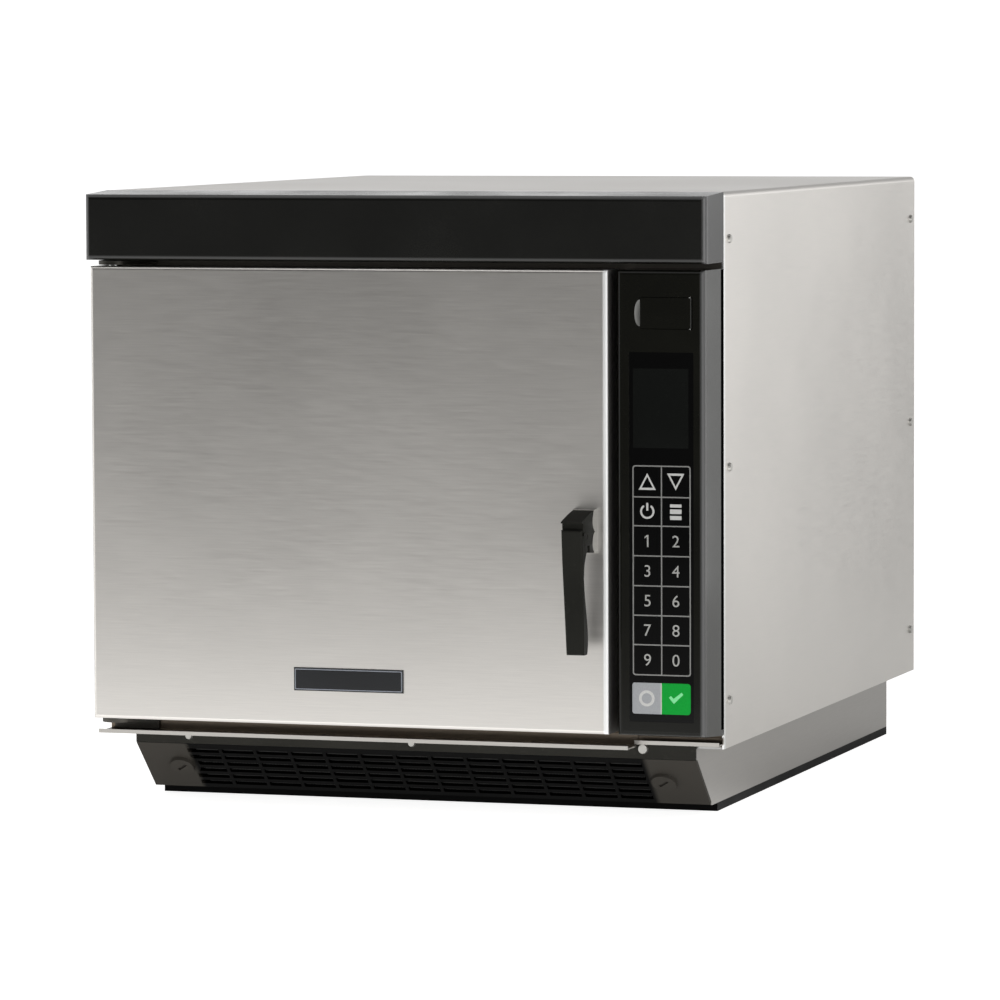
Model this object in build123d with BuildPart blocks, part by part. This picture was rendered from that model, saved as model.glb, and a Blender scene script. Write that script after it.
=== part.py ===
from math import radians
from math import sin
from math import sqrt
import os

from build123d import *

os.makedirs("parts", exist_ok=True)

# A countertop speed oven: microwave, fan and heater behind a plain steel door.
# Millimetres. X to the right, Y to the back, Z up, the origin under the middle of the cabinet.

# Cabinet
left_wall = 44.5
works_bay = 114.5
over_cavity = 95.5
behind_cavity = 165.3
base_height = 54.0
sheet = 1.5
wrapper_corner = 4.0
cut_over = 5.0
fit = 0.3
pin_play = 0.05

# Front group
front_stand = 48.0
visor_height = 52.0
visor_slope = 2.5
visor_edge = 4.0
visor_wall = 2.6
visor_rib = 1.6
visor_ribs = 5
door_gap = 4.7
door_lift = 14.0
door_inset = 4.0
door_back_gap = 4.0
panel_gap = 7.0
panel_width = 68.5
panel_draft = 1.5

# Cavity
cavity_width = 330.0
cavity_height = 267.0
cavity_depth = 381.0
cavity_lift = 52.5
cavity_corner = 8.0
cavity_sheet = 1.2
fan_bay_depth = 48.0
ledge_reach = 7.0
ledge_drop = 3.0
ledge_lifts = (46.0, 128.0)

# Rack
rack_rod = 2.5
rack_wire = 1.5
rack_corner = 12.0
rack_side_play = 2.0
rack_front_gap = 14.0
rack_back_gap = 27.0
rack_wires = 13

# Base
base_inset = 21.0
base_back_inset = 10.3
rail_height = 8.7
rail_stand = 3.1
toe_setback = 38.7
toe_height = 6.4
plate_setback = 18.1
base_sheet = 1.5
plate_wall = 3.0
foot_radius = 12.0
foot_inset = 34.0
foot_collar = 3.0

# Intake grille
grille_thickness = 2.5
grille_lip = 6.0
grille_lip_wall = 1.5
grille_lip_start = 12.0
grille_low_gap = 1.0
slot_rows = 6
slot_row_pitch = 8.1
slot_height = 4.7
slot_column_pitch = 28.2
slot_width = 25.4
slot_margin = 39.0
slot_first_row = 8.8
slot_shift = -2.0
knob_radius = 10.0
knob_height = 2.6
knob_margin = 30.5
knob_down = 28.0
knob_shank = 2.5
knob_groove = 2.2
knob_keepout = 14.0
knob_taper = 12
knob_turn = 40
mesh_thickness = 3.0
mesh_margin = 8.9

# Door
door_shell_depth = 32.0
door_sheet = 1.2
door_edge = 2.6
inner_inset = 1.0
plug_play = 6.0
plug_rise = 2.8
plug_taper = 10
choke_width = 16.0
choke_thickness = 2.0
seal_width = 6.0
seal_play = 0.4
badge_width = 87.0
badge_height = 17.5
badge_left = 162.5
badge_up = 26.0
badge_thickness = 1.2
badge_edge = 0.5

# Hinges
hinge_x_inset = 12.5
hinge_y_inset = 18.0
hinge_pin_radius = 4.0
hinge_arm = 3.0
hinge_arm_gap = 0.9
hinge_arm_radius = 11.5
hinge_plate_width = 36.0
hinge_plate_height = 34.0
hinge_plate_low = 8.0
hinge_bite = 12.0
bush_wall = 2.4
bush_collar = 2.5

# Handle
handle_width = 16.0
handle_from_edge = 16.8
lever_length = 87.6
handle_front_top = 38.0
handle_front_bottom = 29.5
handle_back_bottom = 20.8
handle_back_middle = 27.6
lever_middle_drop = 47.0
handle_back_top = 29.5
knuckle_drop = 18.0
lever_top_rise = 5.4
lever_shoulder_rise = 1.0
lever_lip = 2.0
lever_taper = 1.2
lever_edge = 1.4
cap_gap = 5.0
cap_lip = 0.9
cap_rise = 7.6
cap_bulge = 0.9
stop_out = 9.4
stop_rise = 3.6
pivot_out = 25.0
pivot_height = 163.0
knuckle_radius = 7.2
pivot_pin_radius = 2.0
handle_cheek = 2.7
block_front = 18.0
block_drop = 14.0
bracket_out = 3.0
bracket_lobe = 8.4
bracket_proud = 0.4
tongue_thickness = 5.0
tongue_width = 5.0
tongue_reach = 45.0
tongue_slot_play = 0.7
lever_swing = 11.0

# Latch
latch_from_edge = 12.0
latch_bar_thickness = 3.0
latch_bar_depth = 12.0
latch_bar_front = 22.0
latch_low = 95.0
latch_high = 285.0
latch_travel = 8.3
prong_heights = (112.0, 262.0)
prong_tall = 8.0
prong_reach = 12.0
hook_rise = 2.5
hook_length = 5.0
latch_gap = 0.5
prong_side_play = 3.0
guide_heights = (135.0, 235.0)
guide_height = 12.0
guide_wall = 3.0
spring_radius = 4.0
spring_length = 20.0
spring_seat = 2.0

# Control panel
bezel_wall = 2.5
bezel_edge = 3.5
bezel_tail = 4.0
bezel_step = 1.2
bezel_step_width = 2.4
overlay_left = 9.3
overlay_right = 9.8
overlay_low = 24.5
overlay_top_gap = 60.3
overlay_thickness = 0.8
window_left = 12.0
window_width = 43.0
window_height = 61.2
window_top_gap = 10.2
usb_left = 17.5
usb_width = 40.5
usb_height = 23.6
usb_top_gap = 19.7
usb_pocket_depth = 16.0
usb_wall = 1.4
usb_gap = 0.4
usb_cover_thickness = 2.0
usb_barrel = 1.6
usb_pin_radius = 0.7
usb_pin_inset = 2.4
notch_length = 20.0
notch_width = 8.0
notch_depth = 1.6
socket_width = 14.5
socket_height = 7.0
socket_depth = 8.0
socket_wall = 0.8
board_thickness = 1.6
board_setback = 26.0
board_margin = 6.0
board_part_shares = (0.2, 0.4, 0.6)
display_margin = 3.0
display_depth = 6.0

# Parts under the wrapper
insulation = 13.0
baffle_sheet = 1.5
baffle_slots = 20
baffle_slot_length = 26.0
baffle_slot_width = 5.0
baffle_ring = 62.0
baffle_eye = 34.0
fan_radius = 62.0
fan_depth = 22.0
fan_blades = 12
blade_thickness = 1.5
blade_lean = 25
fan_plate = 1.5
hub_radius = 9.0
shaft_radius = 4.0
shaft_play = 1.0
heater_ring = 84.0
heater_tube = 3.6
heater_tail = 24.0
heater_lead = 2.6
motor_radius = 36.0
motor_length = 52.0
well_radius = 74.0
well_height = 13.0
duct_width = 96.0
duct_height_upper = 26.0
duct_height_lower = 18.0
duct_sheet = 1.5
duct_end_gap = 14.0
stirrer_radius = 58.0
stirrer_sheet = 1.5
stirrer_arms = 3
stirrer_arm_width = 22.0
stirrer_shaft = 3.0
stirrer_motor_radius = 21.0
stirrer_motor_height = 13.0
cover_margin = 18.0
cover_thickness = 4.0
stone_thickness = 6.0
stone_play = 9.0
magnetron_width = 78.0
magnetron_depth = 84.0
magnetron_height = 76.0
magnetron_fins = 7
magnetron_fin = 1.6
magnetron_core = 22.0
magnetron_dome = 9.0
magnetron_dome_height = 14.0
transformer_width = 82.0
transformer_depth = 92.0
transformer_height = 74.0
transformer_leg = 18.0
winding_bulge = 10.0
transformer_gap = 12.0
capacitor_width = 34.0
capacitor_depth = 52.0
capacitor_height = 80.0
capacitor_gap = 8.0
capacitor_tab = 5.0
blower_radius = 58.0
blower_height = 62.0
blower_wall = 2.0
blower_outlet = 54.0
wheel_radius = 48.0
wheel_height = 44.0
wheel_blades = 18
wheel_plate = 1.6
wheel_blade_lean = 20
intake_radius = 40.0
blower_motor_radius = 26.0
blower_motor_height = 34.0
pan_flange = 12.0
relay_board_width = 84.0
relay_board_depth = 120.0
relay_size = 16.0
relay_gap = 8.0
post_height = 8.0
post_radius = 3.0
channel_wall = 1.5
channel_depth = 26.0
channel_low = 84.0
channel_high = 292.0
switch_height = 28.0
switch_depth = 14.0

# Back and trim
vent_slots = 14
vent_rows = 2
vent_slot_width = 5.0
vent_slot_height = 62.0
vent_pitch = 12.0
vent_row_pitch = 82.0
gland_radius = 13.0
gland_bore = 6.5
gland_flange = 17.0
gland_flange_thickness = 3.0
gland_depth = 14.0
gland_from_side = 60.0
gland_lift = 40.0
ledge_front = 28.0
ledge_lip = 1.7
ledge_leg = 8.0
ledge_sheet = 1.2
ledge_lift = 0.5
ledge_past_door = 9.0
panel_ledge_front = 12.0
panel_ledge_lift = 3.1
panel_ledge_inset = 1.0
panel_ledge_leg = 4.0
screw_head = 3.5
screw_head_height = 1.8
screw_shank = 1.9
screw_taper = 20
screw_length = 6.0
rail_screw_share = 0.806
rail_screw_drop = 2.7
rail_screw_head = 3.0
rail_screw_length = 2.8
shelf_screw_drop = 1.2
shelf_screw_head = 4.0
side_screw_setback = 15.0
frame_return = 25.0
pan_flange_setback = 32.0
wiring_hole_width = 34.0
wiring_hole_height = 120.0
side_screw_low = 35.6
side_screw_top_gap = 35.0
side_screw_middle_share = 0.506

# Places worked out from the sizes above
wrapper_width = left_wall + cavity_width + works_bay
wrapper_depth = sheet + cavity_depth + fan_bay_depth + cavity_sheet + behind_cavity
wrapper_height = cavity_lift + cavity_height + over_cavity
side = wrapper_width / 2
front = -wrapper_depth / 2
back = wrapper_depth / 2
floor = base_height
roof = base_height + wrapper_height
face = front - front_stand
inside = side - sheet
inside_roof = roof - sheet
visor_low = roof - visor_height
door_left = -side + door_inset
panel_left = side - panel_width
door_right = panel_left - panel_gap
door_low = floor + door_lift
door_high = visor_low - door_gap
door_back = front - door_back_gap
shell_back = face + door_shell_depth
panel_low = door_low + fit
panel_high = door_high
cavity_shift = (left_wall - works_bay) / 2
cavity_left = cavity_shift - cavity_width / 2
cavity_right = cavity_shift + cavity_width / 2
cavity_low = floor + cavity_lift
cavity_high = cavity_low + cavity_height
cavity_front = front + sheet
cavity_middle_y = cavity_front + cavity_depth / 2
cavity_middle_z = (cavity_low + cavity_high) / 2
baffle_y = cavity_front + cavity_depth
cavity_back = baffle_y + fan_bay_depth
cavity_back_outside = cavity_back + cavity_sheet
hinge_x = door_left + hinge_x_inset
hinge_y = face + hinge_y_inset
handle_x = door_right - handle_from_edge
pivot_y = face - pivot_out
pivot_z = floor + pivot_height
lever_top = pivot_z + lever_top_rise
cap_under = lever_top + cap_gap
cap_front = cap_under + cap_lip
lever_low = pivot_z - lever_length
lever_middle = pivot_z - lever_middle_drop
knuckle_low = pivot_z - knuckle_drop
latch_x = door_right - latch_from_edge
side_screw_heights = (side_screw_low, side_screw_middle_share * wrapper_height,
                      wrapper_height - side_screw_top_gap)


def facing(y):
    """The upright plane at this depth, seen from the front, with X and Z as its axes."""
    return Plane.XZ.offset(-y)


def span_rect(u, v, mode=Mode.ADD):
    """A rectangle between two coordinates along each axis of the sketch."""
    with Locations(((u[0] + u[1]) / 2, (v[0] + v[1]) / 2)):
        Rectangle(u[1] - u[0], v[1] - v[0], mode=mode)


def span_box(x, y, z, mode=Mode.ADD):
    """A block between two coordinates along each axis."""
    with Locations(((x[0] + x[1]) / 2, (y[0] + y[1]) / 2, (z[0] + z[1]) / 2)):
        Box(x[1] - x[0], y[1] - y[0], z[1] - z[0], mode=mode)


# Outer wrapper: one sheet folded over the top and down both sides
with BuildPart() as wrapper:
    with BuildSketch(facing(front)):
        span_rect((-side, side), (floor, roof))
        fillet(vertices().group_by(Axis.Y)[-1], radius=wrapper_corner)
        span_rect((-inside, inside), (floor - cut_over, inside_roof), mode=Mode.SUBTRACT)
    extrude(amount=-wrapper_depth)
    for screw_y in (front + side_screw_setback, back - side_screw_setback):
        for screw_height in side_screw_heights:
            with Locations((0, screw_y, floor + screw_height)):
                Cylinder(screw_shank + pin_play, wrapper_width + cut_over, rotation=(0, 90, 0),
                         mode=Mode.SUBTRACT)
wrapper.part.label = "wrapper"
export_step(wrapper.part, "parts/wrapper.step")

# Chassis pan: the cabinet's floor, with upturned side flanges and the blower's intake
blower_x = cavity_left + blower_radius
blower_y = (cavity_back_outside + insulation + back - sheet) / 2
pan_half = inside - fit
with BuildPart() as chassis_pan:
    with BuildSketch(facing(front)):
        span_rect((-pan_half, pan_half), (floor, floor + pan_flange))
        span_rect((-pan_half + sheet, pan_half - sheet), (floor + sheet, floor + pan_flange + cut_over),
                  mode=Mode.SUBTRACT)
    extrude(amount=-(wrapper_depth - sheet))
    for flange_end in ((front, front + pan_flange_setback), (back - pan_flange_setback, back)):
        span_box((-side, side), flange_end, (floor + sheet, floor + pan_flange + cut_over),
                 mode=Mode.SUBTRACT)
    with Locations((blower_x, blower_y, floor)):
        Cylinder(intake_radius, 2 * sheet + cut_over, mode=Mode.SUBTRACT)
chassis_pan.part.label = "chassis_pan"
export_step(chassis_pan.part, "parts/chassis_pan.step")

# Front frame: the plate around the oven's mouth, with side returns and the latch slots
slot_half = latch_bar_thickness / 2 + prong_side_play
with BuildPart() as front_frame:
    with BuildSketch(facing(front)):
        span_rect((-pan_half, pan_half), (floor + sheet, inside_roof - fit))
        with Locations((cavity_shift, cavity_middle_z)):
            RectangleRounded(cavity_width, cavity_height, cavity_corner, mode=Mode.SUBTRACT)
        for height in prong_heights:
            slot_low = floor + height - prong_tall / 2 - latch_travel - latch_gap
            slot_high = floor + height + prong_tall / 2 + hook_rise + latch_gap
            span_rect((latch_x - slot_half, latch_x + slot_half), (slot_low, slot_high), mode=Mode.SUBTRACT)
        with Locations(((panel_left + side) / 2, cavity_middle_z)):
            Rectangle(wiring_hole_width, wiring_hole_height, mode=Mode.SUBTRACT)
    extrude(amount=-sheet)
    for turn in (-1, 1):
        return_span = sorted((turn * pan_half, turn * (pan_half - sheet)))
        span_box(return_span, (front, front + frame_return), (floor + sheet, inside_roof - fit))
    for screw_height in side_screw_heights:
        with Locations((0, front + side_screw_setback, floor + screw_height)):
            Cylinder(screw_shank + pin_play, wrapper_width, rotation=(0, 90, 0), mode=Mode.SUBTRACT)
front_frame.part.label = "front_frame"
export_step(front_frame.part, "parts/front_frame.step")

# Rear panel: louvred plate with side returns and the hole for the cord's gland
gland_x = -side + gland_from_side
gland_z = floor + gland_lift
vent_middle_z = (cavity_middle_z + inside_roof) / 2
with BuildPart() as rear_panel:
    with BuildSketch(facing(back - sheet)):
        span_rect((-pan_half, pan_half), (floor + sheet, inside_roof - fit))
        with Locations((0, vent_middle_z)):
            with GridLocations(vent_pitch, vent_row_pitch, vent_slots, vent_rows):
                SlotOverall(vent_slot_height, vent_slot_width, rotation=90, mode=Mode.SUBTRACT)
        with Locations((gland_x, gland_z)):
            Circle(gland_radius, mode=Mode.SUBTRACT)
    extrude(amount=-sheet)
    for turn in (-1, 1):
        return_span = sorted((turn * pan_half, turn * (pan_half - sheet)))
        span_box(return_span, (back - frame_return, back), (floor + sheet, inside_roof - fit))
    for screw_height in side_screw_heights:
        with Locations((0, back - side_screw_setback, floor + screw_height)):
            Cylinder(screw_shank + pin_play, wrapper_width, rotation=(0, 90, 0), mode=Mode.SUBTRACT)
rear_panel.part.label = "rear_panel"
export_step(rear_panel.part, "parts/rear_panel.step")

# Cord gland in the rear panel
with BuildPart() as cord_gland:
    with BuildSketch(facing(back)):
        with Locations((gland_x, gland_z)):
            Circle(gland_flange)
            Circle(gland_bore, mode=Mode.SUBTRACT)
    extrude(amount=-gland_flange_thickness)
    with BuildSketch(facing(back)):
        with Locations((gland_x, gland_z)):
            Circle(gland_radius - pin_play)
            Circle(gland_bore, mode=Mode.SUBTRACT)
    extrude(amount=gland_depth)
    rim = cord_gland.edges().filter_by(GeomType.CIRCLE).group_by(Axis.Y)[-1].sort_by(SortBy.RADIUS)[-1]
    chamfer(rim, length=gland_flange_thickness / 4)
cord_gland.part.label = "cord_gland"
export_step(cord_gland.part, "parts/cord_gland.step")

# Ledges folded forward from the cabinet's lower front edge
with BuildPart() as front_ledges:
    ledge_low = floor + ledge_lift
    with BuildSketch(Plane.YZ.offset(-side)):
        span_rect((front - ledge_front, front), (ledge_low, ledge_low + ledge_sheet))
        span_rect((front - ledge_front, front - ledge_front + ledge_sheet),
                  (ledge_low, ledge_low + ledge_sheet + ledge_lip))
        span_rect((front - ledge_sheet, front), (ledge_low, ledge_low + ledge_sheet + ledge_leg))
    ledge_right_end = door_right + ledge_past_door
    extrude(amount=side + ledge_right_end)
    shelf_low = floor + panel_ledge_lift
    with BuildSketch(Plane.YZ.offset(ledge_right_end + fit)):
        span_rect((front - panel_ledge_front, front), (shelf_low, shelf_low + ledge_sheet))
        span_rect((front - panel_ledge_front, front - panel_ledge_front + ledge_sheet),
                  (shelf_low, shelf_low + ledge_sheet + ledge_lip))
        span_rect((front - ledge_sheet, front), (shelf_low, shelf_low + ledge_sheet + panel_ledge_leg))
    extrude(amount=side - panel_ledge_inset - ledge_right_end)
front_ledges.part.label = "front_ledges"
export_step(front_ledges.part, "parts/front_ledges.step")

# Visor: the black moulding across the top of the front, hollow from behind, with ribs
with BuildPart() as visor:
    with BuildSketch(Plane.YZ.offset(-side)):
        with BuildLine():
            Polyline((front, visor_low), (face, visor_low), (face, roof - visor_slope), (front, roof),
                     close=True)
        make_face()
    extrude(amount=wrapper_width)
    fillet(visor.faces().sort_by(Axis.Y)[0].edges(), radius=visor_edge)
    with BuildSketch(Plane.YZ.offset(-side + visor_wall)):
        with BuildLine():
            Polyline((front + cut_over, visor_low + visor_wall),
                     (face + visor_wall, visor_low + visor_wall),
                     (face + visor_wall, roof - visor_slope - visor_wall),
                     (front + cut_over, roof - visor_wall),
                     close=True)
        make_face()
    extrude(amount=wrapper_width - 2 * visor_wall, mode=Mode.SUBTRACT)
    for rib in range(visor_ribs):
        rib_x = -side + wrapper_width * (rib + 1) / (visor_ribs + 1)
        span_box((rib_x - visor_rib / 2, rib_x + visor_rib / 2),
                 (face + visor_wall / 2, front - visor_wall),
                 (visor_low + visor_wall / 2, roof - visor_slope - visor_wall / 2))
    span_box((door_left - fit, door_left + hinge_plate_width + fit),
             (front - hinge_arm - fit, front + cut_over),
             (visor_low - cut_over, visor_low + visor_wall + cut_over), mode=Mode.SUBTRACT)
visor.part.label = "visor"
export_step(visor.part, "parts/visor.step")

# Base: side and back skirts, folded from one sheet, with a slanted front edge
base_half = side - base_inset
rail_y = front - rail_stand
rail_low = floor - rail_height
toe_y = front + toe_setback
base_back = back - base_back_inset
slant_length = sqrt((toe_y - rail_y) ** 2 + (rail_low - toe_height) ** 2)
slant_run = (toe_y - rail_y) / slant_length
slant_fall = (rail_low - toe_height) / slant_length
skirt_gap = (grille_thickness + fit) / slant_fall
with BuildPart() as base_skirts:
    with BuildSketch(Plane.YZ.offset(-base_half)):
        with BuildLine():
            Polyline((rail_y + base_sheet + fit, floor), (rail_y + base_sheet + fit, rail_low),
                     (rail_y + skirt_gap, rail_low), (toe_y + skirt_gap, toe_height),
                     (base_back, toe_height), (base_back, floor), close=True)
        make_face()
    extrude(amount=2 * base_half)
    span_box((-base_half + base_sheet, base_half - base_sheet), (rail_y, base_back - base_sheet),
             (0, floor + cut_over), mode=Mode.SUBTRACT)
base_skirts.part.label = "base_skirts"
export_step(base_skirts.part, "parts/base_skirts.step")

# Base rail: the black band above the grille, higher beside the end of the door's ledge
rail_top = ledge_low - fit
rail_step_x = ledge_right_end + fit
rail_screws = (
    (-rail_screw_share * base_half, floor - rail_screw_drop, rail_screw_head),
    (0, floor - rail_screw_drop, rail_screw_head),
    (rail_step_x + fit + shelf_screw_head, floor - shelf_screw_drop, shelf_screw_head),
)
with BuildPart() as base_rail:
    with BuildSketch(facing(rail_y)):
        span_rect((-base_half, base_half), (rail_low, rail_top))
        span_rect((rail_step_x, base_half), (rail_low, shelf_low - fit))
        with Locations(*[(screw_x, screw_z) for screw_x, screw_z, head in rail_screws]):
            Circle(screw_shank + pin_play, mode=Mode.SUBTRACT)
    extrude(amount=-base_sheet)
    flange_half = base_half - base_sheet - fit
    span_box((-flange_half, flange_half), (rail_y + base_sheet, rail_y + frame_return),
             (floor - base_sheet, floor))
    for screw_x, screw_z, head in rail_screws:
        span_box((screw_x - screw_shank - fit, screw_x + screw_shank + fit),
                 (rail_y + base_sheet, rail_y + rail_screw_length + fit),
                 (floor - base_sheet - cut_over, floor + cut_over), mode=Mode.SUBTRACT)
base_rail.part.label = "base_rail"
export_step(base_rail.part, "parts/base_rail.step")

# Screws: the wrapper's sides and the base rail
with BuildPart() as cabinet_screws:
    side_seats = [(Plane((turn * side, y, floor + height), z_dir=(turn, 0, 0)), screw_head, screw_length)
                  for turn in (-1, 1)
                  for y in (front + side_screw_setback, back - side_screw_setback)
                  for height in side_screw_heights]
    rail_seats = [(Plane((screw_x, rail_y, screw_z), z_dir=(0, -1, 0)), head, rail_screw_length)
                  for screw_x, screw_z, head in rail_screws]
    for seat, head, length in side_seats + rail_seats:
        with BuildSketch(seat):
            Circle(head)
        extrude(amount=screw_head_height, taper=screw_taper)
        with BuildSketch(seat):
            Circle(screw_shank)
        extrude(amount=-length)
cabinet_screws.part.label = "cabinet_screws"
export_step(cabinet_screws.part, "parts/cabinet_screws.step")

# Base plate: the shallow tray that the oven stands on, and its four grommet feet
plate_front = toe_y + plate_setback
foot_x = base_half - foot_inset
foot_front = plate_front + foot_inset
foot_back = base_back - foot_inset
with BuildPart() as base_plate:
    span_box((-base_half, base_half), (plate_front, base_back), (0, toe_height))
    span_box((-base_half + plate_wall, base_half - plate_wall),
             (plate_front + plate_wall, base_back - plate_wall),
             (base_sheet, toe_height + cut_over), mode=Mode.SUBTRACT)
    with Locations(*[(turn * foot_x, y, 0) for turn in (-1, 1) for y in (foot_front, foot_back)]):
        Cylinder(foot_radius, base_sheet * 2 + cut_over, mode=Mode.SUBTRACT)
base_plate.part.label = "base_plate"
export_step(base_plate.part, "parts/base_plate.step")

with BuildPart() as feet:
    with BuildSketch():
        with Locations(*[(turn * foot_x, y) for turn in (-1, 1) for y in (foot_front, foot_back)]):
            Circle(foot_radius - fit)
    extrude(amount=base_sheet)
    with BuildSketch(Plane.XY.offset(base_sheet)):
        with Locations(*[(turn * foot_x, y) for turn in (-1, 1) for y in (foot_front, foot_back)]):
            Circle(foot_radius + foot_collar)
    extrude(amount=base_sheet)
feet.part.label = "feet"
export_step(feet.part, "parts/feet.step")

# Intake grille: slanted slotted front of the base, with its filter and two captive knobs
slant = Plane((0, rail_y, rail_low), x_dir=(1, 0, 0), z_dir=(0, -slant_fall, -slant_run))
knob_x = base_half - knob_margin
grille_low = slant_length - grille_low_gap
slot_columns = int(2 * (base_half - slot_margin) / slot_column_pitch)
with BuildPart() as intake_grille:
    with BuildSketch(slant):
        span_rect((-base_half, base_half), (-grille_low, 0))
        with BuildSketch(mode=Mode.SUBTRACT):
            for row in range(slot_rows):
                with Locations((slot_shift, -slot_first_row - row * slot_row_pitch)):
                    with GridLocations(slot_column_pitch, 0, slot_columns, 1):
                        Rectangle(slot_width, slot_height)
            with Locations((-knob_x, -knob_down), (knob_x, -knob_down)):
                Circle(knob_keepout, mode=Mode.SUBTRACT)
        with Locations((-knob_x, -knob_down), (knob_x, -knob_down)):
            Circle(knob_shank + pin_play, mode=Mode.SUBTRACT)
    extrude(amount=-grille_thickness)
    span_box((-side, side), (rail_y - cut_over, rail_y + cut_over), (rail_low - fit, rail_low + cut_over),
             mode=Mode.SUBTRACT)
    lip_half = base_half - base_sheet - fit
    with BuildSketch(slant.offset(-grille_thickness)):
        span_rect((-lip_half, lip_half), (-grille_low, -grille_lip_start))
        span_rect((-lip_half + grille_lip_wall, lip_half - grille_lip_wall),
                  (-grille_low + grille_lip_wall, -grille_lip_start + cut_over), mode=Mode.SUBTRACT)
    extrude(amount=-grille_lip)
intake_grille.part.label = "intake_grille"
export_step(intake_grille.part, "parts/intake_grille.step")

with BuildPart() as filter_mesh:
    with BuildSketch(slant.offset(-grille_thickness)):
        span_rect((-knob_x + knob_margin / 2, knob_x - knob_margin / 2),
                  (-grille_low + mesh_margin / 2, -mesh_margin + slot_height / 2))
    extrude(amount=-mesh_thickness)
filter_mesh.part.label = "filter_mesh"
export_step(filter_mesh.part, "parts/filter_mesh.step")

with BuildPart() as grille_knobs:
    for turn in (-1, 1):
        with BuildSketch(slant):
            with Locations((turn * knob_x, -knob_down)):
                Circle(knob_radius)
        extrude(amount=knob_height, taper=knob_taper)
        with BuildSketch(slant.offset(knob_height)):
            with Locations((turn * knob_x, -knob_down)):
                Rectangle(knob_radius, knob_groove, rotation=knob_turn)
        extrude(amount=-knob_height / 2, mode=Mode.SUBTRACT)
        with BuildSketch(slant):
            with Locations((turn * knob_x, -knob_down)):
                Circle(knob_shank)
        extrude(amount=-(grille_thickness + knob_height))
grille_knobs.part.label = "grille_knobs"
export_step(grille_knobs.part, "parts/grille_knobs.step")

# Door shell: folded steel outer skin, a pan open to the back
with BuildPart() as door_shell:
    span_box((door_left, door_right), (face, shell_back), (door_low, door_high))
    fillet(door_shell.faces().sort_by(Axis.Y)[0].edges(), radius=door_edge)
    span_box((door_left + door_sheet, door_right - door_sheet), (face + door_sheet, shell_back + cut_over),
             (door_low + door_sheet, door_high - door_sheet), mode=Mode.SUBTRACT)
    bush_outer = hinge_pin_radius + pin_play + bush_wall
    with Locations((hinge_x, hinge_y, door_low), (hinge_x, hinge_y, door_high)):
        Cylinder(bush_outer, cut_over, mode=Mode.SUBTRACT)
    tongue_half = tongue_width / 2 + tongue_slot_play
    tongue_drop = tongue_thickness / 2 + pivot_out * sin(radians(lever_swing)) + tongue_slot_play
    tongue_top = tongue_thickness / 2 + tongue_slot_play
    span_box((handle_x - tongue_half, handle_x + tongue_half), (face - cut_over, face + door_sheet + fit),
             (pivot_z - tongue_drop, pivot_z + tongue_top), mode=Mode.SUBTRACT)
door_shell.part.label = "door_shell"
export_step(door_shell.part, "parts/door_shell.step")

# Door inner: pressed pan that closes the shell, with a raised plug facing the cavity
plug_left = cavity_left + plug_play
plug_right = cavity_right - plug_play
plug_low = cavity_low + plug_play
plug_high = cavity_high - plug_play
inner_left = door_left + inner_inset
inner_right = door_right - inner_inset
inner_low = door_low + inner_inset
inner_high = door_high - inner_inset
bar_front = face + latch_bar_front
bar_back = bar_front + latch_bar_depth
bar_left = latch_x - latch_bar_thickness / 2
bar_right = latch_x + latch_bar_thickness / 2
with BuildPart() as door_inner:
    span_box((inner_left, inner_right), (shell_back, door_back), (inner_low, inner_high))
    fillet(door_inner.edges().filter_by(Axis.Y), radius=door_edge)
    with BuildSketch(facing(door_back)):
        with Locations((cavity_shift, cavity_middle_z)):
            RectangleRounded(plug_right - plug_left, plug_high - plug_low, cavity_corner)
    extrude(amount=-plug_rise, taper=plug_taper)
    span_box((inner_left + door_sheet, inner_right - door_sheet),
             (shell_back - cut_over, door_back - door_sheet),
             (inner_low + door_sheet, inner_high - door_sheet), mode=Mode.SUBTRACT)
    span_box((plug_left + cavity_corner, plug_right - cavity_corner),
             (door_back - 2 * door_sheet, door_back + plug_rise - door_sheet),
             (plug_low + cavity_corner, plug_high - cavity_corner), mode=Mode.SUBTRACT)
    for height in prong_heights:
        span_box((bar_left - tongue_slot_play, bar_right + tongue_slot_play),
                 (door_back - cut_over, door_back + cut_over),
                 (floor + height - prong_tall / 2 - latch_travel - latch_gap,
                  floor + height + prong_tall / 2 + latch_gap), mode=Mode.SUBTRACT)
door_inner.part.label = "door_inner"
export_step(door_inner.part, "parts/door_inner.step")

# Choke cover: the plastic ring round the plug, and the seal round that
choke_in = pin_play
choke_out = choke_width + choke_in
seal_in = choke_out + seal_play
seal_out = seal_in + seal_width


def plug_ring(inner, outer):
    """A rounded ring that follows the plug, between two distances from its edge."""
    with Locations((cavity_shift, cavity_middle_z)):
        RectangleRounded(plug_right - plug_left + 2 * outer, plug_high - plug_low + 2 * outer,
                         cavity_corner + outer)
        RectangleRounded(plug_right - plug_left + 2 * inner, plug_high - plug_low + 2 * inner,
                         cavity_corner + inner,
                         mode=Mode.SUBTRACT)


with BuildPart() as choke_cover:
    with BuildSketch(facing(door_back)):
        plug_ring(choke_in, choke_out)
    extrude(amount=-choke_thickness)
choke_cover.part.label = "choke_cover"
export_step(choke_cover.part, "parts/choke_cover.step")

with BuildPart() as door_seal:
    with BuildSketch(facing(door_back)):
        plug_ring(seal_in, seal_out)
    extrude(amount=-(door_back_gap - seal_play))
    chamfer(door_seal.faces().sort_by(Axis.Y)[-1].edges(), length=seal_width / 6)
door_seal.part.label = "door_seal"
export_step(door_seal.part, "parts/door_seal.step")

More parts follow.
